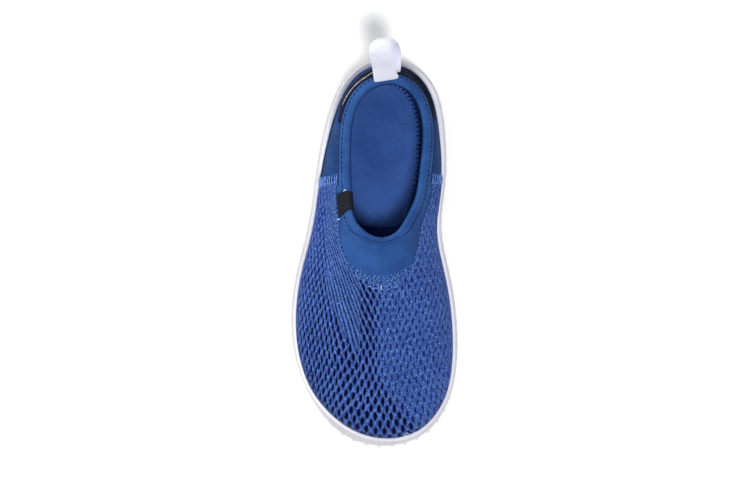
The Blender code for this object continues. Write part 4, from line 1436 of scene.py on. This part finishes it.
def side_tag(finish):
    """Folded label over the lateral rim, with a soft fold at its top."""
    girth = -np.linspace(*TAG_GIRTHS, 25)[::-1]
    path = [(TAG_DEPTH, 0.45), (5.6, 0.6), (4.2, 0.75), (2.6, 0.75), (1.0, 0.7), (0.0, 0.55)]
    for turn in np.linspace(0.2, math.pi - 0.2, 9):
        off = -RIM_WALL / 2 + (RIM_WALL / 2 + 0.6) * math.cos(turn)
        path.append((RIM_FOOT - 2.1 * math.sin(turn), off))
    path += [(depth, -RIM_WALL - 0.45) for depth in (0.8, 2.0, 3.6, 5.2, TAG_DEPTH)]
    line = open_spline(path, 4)
    depths = np.broadcast_to(line[:, :1], (len(line), 25))
    girths = np.broadcast_to(girth, depths.shape)
    across = np.cross(np.column_stack([np.gradient(line, axis=0), np.zeros(len(line))]), [0, 0, 1])
    across /= np.linalg.norm(across, axis=1)[:, None]
    sheets = []
    for half in (TAG_THICKNESS / 2, -TAG_THICKNESS / 2):
        moved = line + across[:, :2] * half
        deep = np.broadcast_to(moved[:, :1], girths.shape)
        off = np.broadcast_to(moved[:, 1:2], girths.shape)
        sheets.append(FORM.at(girths, deep, off))
    length = np.broadcast_to(lengths(line)[:, None], girths.shape)
    uvs = np.stack([girths * RIM_GIRTH_LENGTH, length], axis=-1)
    obj = closed_sheet("folded_tag", sheets[1], sheets[0], uvs)
    return finish_piece(obj, finish, "black_label", "side_tag")


def pull_loop(finish):
    """Webbing with a soft crown and rounded edges, from the rim over and down behind the heel."""
    path = []
    for depth, off, x in ((-0.55, -2.2, 1.9), (-0.9, -1.4, 1.85), (-0.9, -0.3, 1.8)):
        spot = FORM.at(0.0, depth - 0.55, off)
        path.append((float(spot[1]), float(spot[2]) + 0.5, x))
    path += [(row["station"], row["height"], row["x"]) for row in LOOP_ROWS]
    for depth, x in ((6.4, 2.6), (8.6, 2.4)):
        spot = FORM.at(0.0, depth, 1.2)
        path.append((float(spot[1]), float(spot[2]), x))
    line = open_spline(path, 12)
    along = np.gradient(line[:, :2], axis=0)
    along /= np.linalg.norm(along, axis=1)[:, None]
    out = np.stack([-along[:, 1], along[:, 0]], axis=1)
    turn = np.linspace(0, 2 * math.pi, 29)[:-1]
    half_width, half_thick = LOOP_WIDTH / 2, LOOP_THICKNESS / 2
    across = np.sign(np.cos(turn)) * np.abs(np.cos(turn)) ** 0.45 * half_width
    thick = np.sign(np.sin(turn)) * np.abs(np.sin(turn)) ** 0.6 * half_thick
    share = lengths(line) / lengths(line)[-1]
    bow = ease(share, 0.15, 0.45) * ease(1 - share, 0.1, 0.4)
    slant = LOOP_SLANT * (1 - ease(share, 0.0, 0.22))
    crown = LOOP_CROWN * np.abs(across / half_width) ** 3.0
    lift = thick + crown * bow[:, None]
    points = np.empty((len(line), len(turn), 3))
    points[..., 0] = line[:, 2:3] + across
    points[..., 1] = line[:, 0:1] + out[:, 0:1] * lift - slant[:, None] * across
    points[..., 2] = line[:, 1:2] + out[:, 1:2] * lift
    length = np.broadcast_to(lengths(line)[:, None], points.shape[:2])
    uvs = np.stack([np.broadcast_to(across, length.shape), length], axis=-1)
    obj = lofted("webbing_loop", points, uvs)
    return finish_piece(obj, finish, "white_webbing", "pull_loop")


# Build

rubber = rubber_finish()
mesh = mesh_finish()
light_thread = thread_finish("light blue thread", linear(60, 96, 170), linear(122, 158, 216))
blue_thread = thread_finish("mid blue thread", linear(46, 78, 148), linear(100, 134, 198))
pale_thread = thread_finish("pale loose thread", linear(150, 176, 222), linear(214, 226, 246))
# a painted reflection: the pale line along the heel film
reflection_finish = thread_finish("pale painted reflection", linear(150, 118, 96), linear(226, 214, 204))
# the hem's navy: partly the lining, partly painted shadow under the rim and the throat
hem_shadow_finish = thread_finish("navy hem painted shadow", linear(20, 36, 84), linear(32, 56, 116))
dark_thread = thread_finish("navy thread", linear(14, 24, 58), linear(26, 42, 88))

knit_upper(knit_finish())
for name, side in (("mesh_lateral", -1), ("mesh_medial", 1)):
    finish_piece(mesh_half(name, side), mesh, "blue_mesh", "mesh_vamp")
footbed(footbed_finish())
sole(rubber)
tread(rubber)
heel_patch(film_finish())
side_tag(label_finish())
pull_loop(webbing_finish())

front_stitches = collar_seam_paths((0.8, 1.0), FRONT_STITCHES)
sewn("seam_threads", side_seam_paths() + front_stitches, 0.27, light_thread)
loops = collar_seam_paths((MESH_GIRTH, 0.8), SIDE_LOOPS)
loops += collar_seam_paths((0.8, 1.0), FRONT_LOOPS)
sewn("panel_threads", loops, 0.25, blue_thread)
sewn("loose_threads", stray_paths(), 0.2, pale_thread)
sewn("band_threads", band_paths(BAND_STITCH_DEPTH), 0.2, dark_thread, sides=5)
# painted shadow: dark lines inside the rim and under the band
sewn("rim_edging", rim_shadow_paths(), 0.3, dark_thread)
# painted shade: the dark line in the front fold
sewn("front_fold", [fold_shade_path()], 0.2, dark_thread)
sewn("film_edge", [film_reflection_path()], 0.2, reflection_finish, "dark_film")
lining_hem(hem_shadow_finish, dark_thread)

# Stage

bpy.ops.object.select_all(action="DESELECT")
bpy.ops.mesh.primitive_plane_add(size=6.0, location=(0, 0, -0.0002))
floor = bpy.context.object
floor.name = "studio_floor"
paper = bpy.data.materials.new("pale paper")
paper.use_nodes = True
matte = paper.node_tree.nodes["Principled BSDF"].inputs
matte["Base Color"].default_value = (0.9, 0.9, 0.9, 1)
matte["Roughness"].default_value = 0.95
floor.data.materials.append(paper)


def lamp(name, spot, size, power):
    """A round lamp that faces the shoe."""
    data = bpy.data.lights.new(name, "AREA")
    data.shape = "DISK"
    data.size = size
    data.energy = power
    obj = bpy.data.objects.new(name, data)
    bpy.context.scene.collection.objects.link(obj)
    obj.location = spot
    obj.rotation_mode = "QUATERNION"
    obj.rotation_quaternion = (-Vector(spot)).to_track_quat("-Z", "Y")


lamp("key", (0.20, -0.34, 1.75), 0.34, 26.0)
lamp("fill", (-0.5, 0.1, 1.7), 1.2, 4.5)
lamp("side", (-0.9, 0.9, 0.45), 0.9, 13.0)
world = bpy.data.worlds.new("studio")
world.use_nodes = True
sky = world.node_tree.nodes["Background"].inputs
sky["Color"].default_value = (0.96, 0.97, 1.0, 1)
sky["Strength"].default_value = 0.26
bpy.context.scene.world = world
bpy.context.scene.view_settings.view_transform = "Standard"
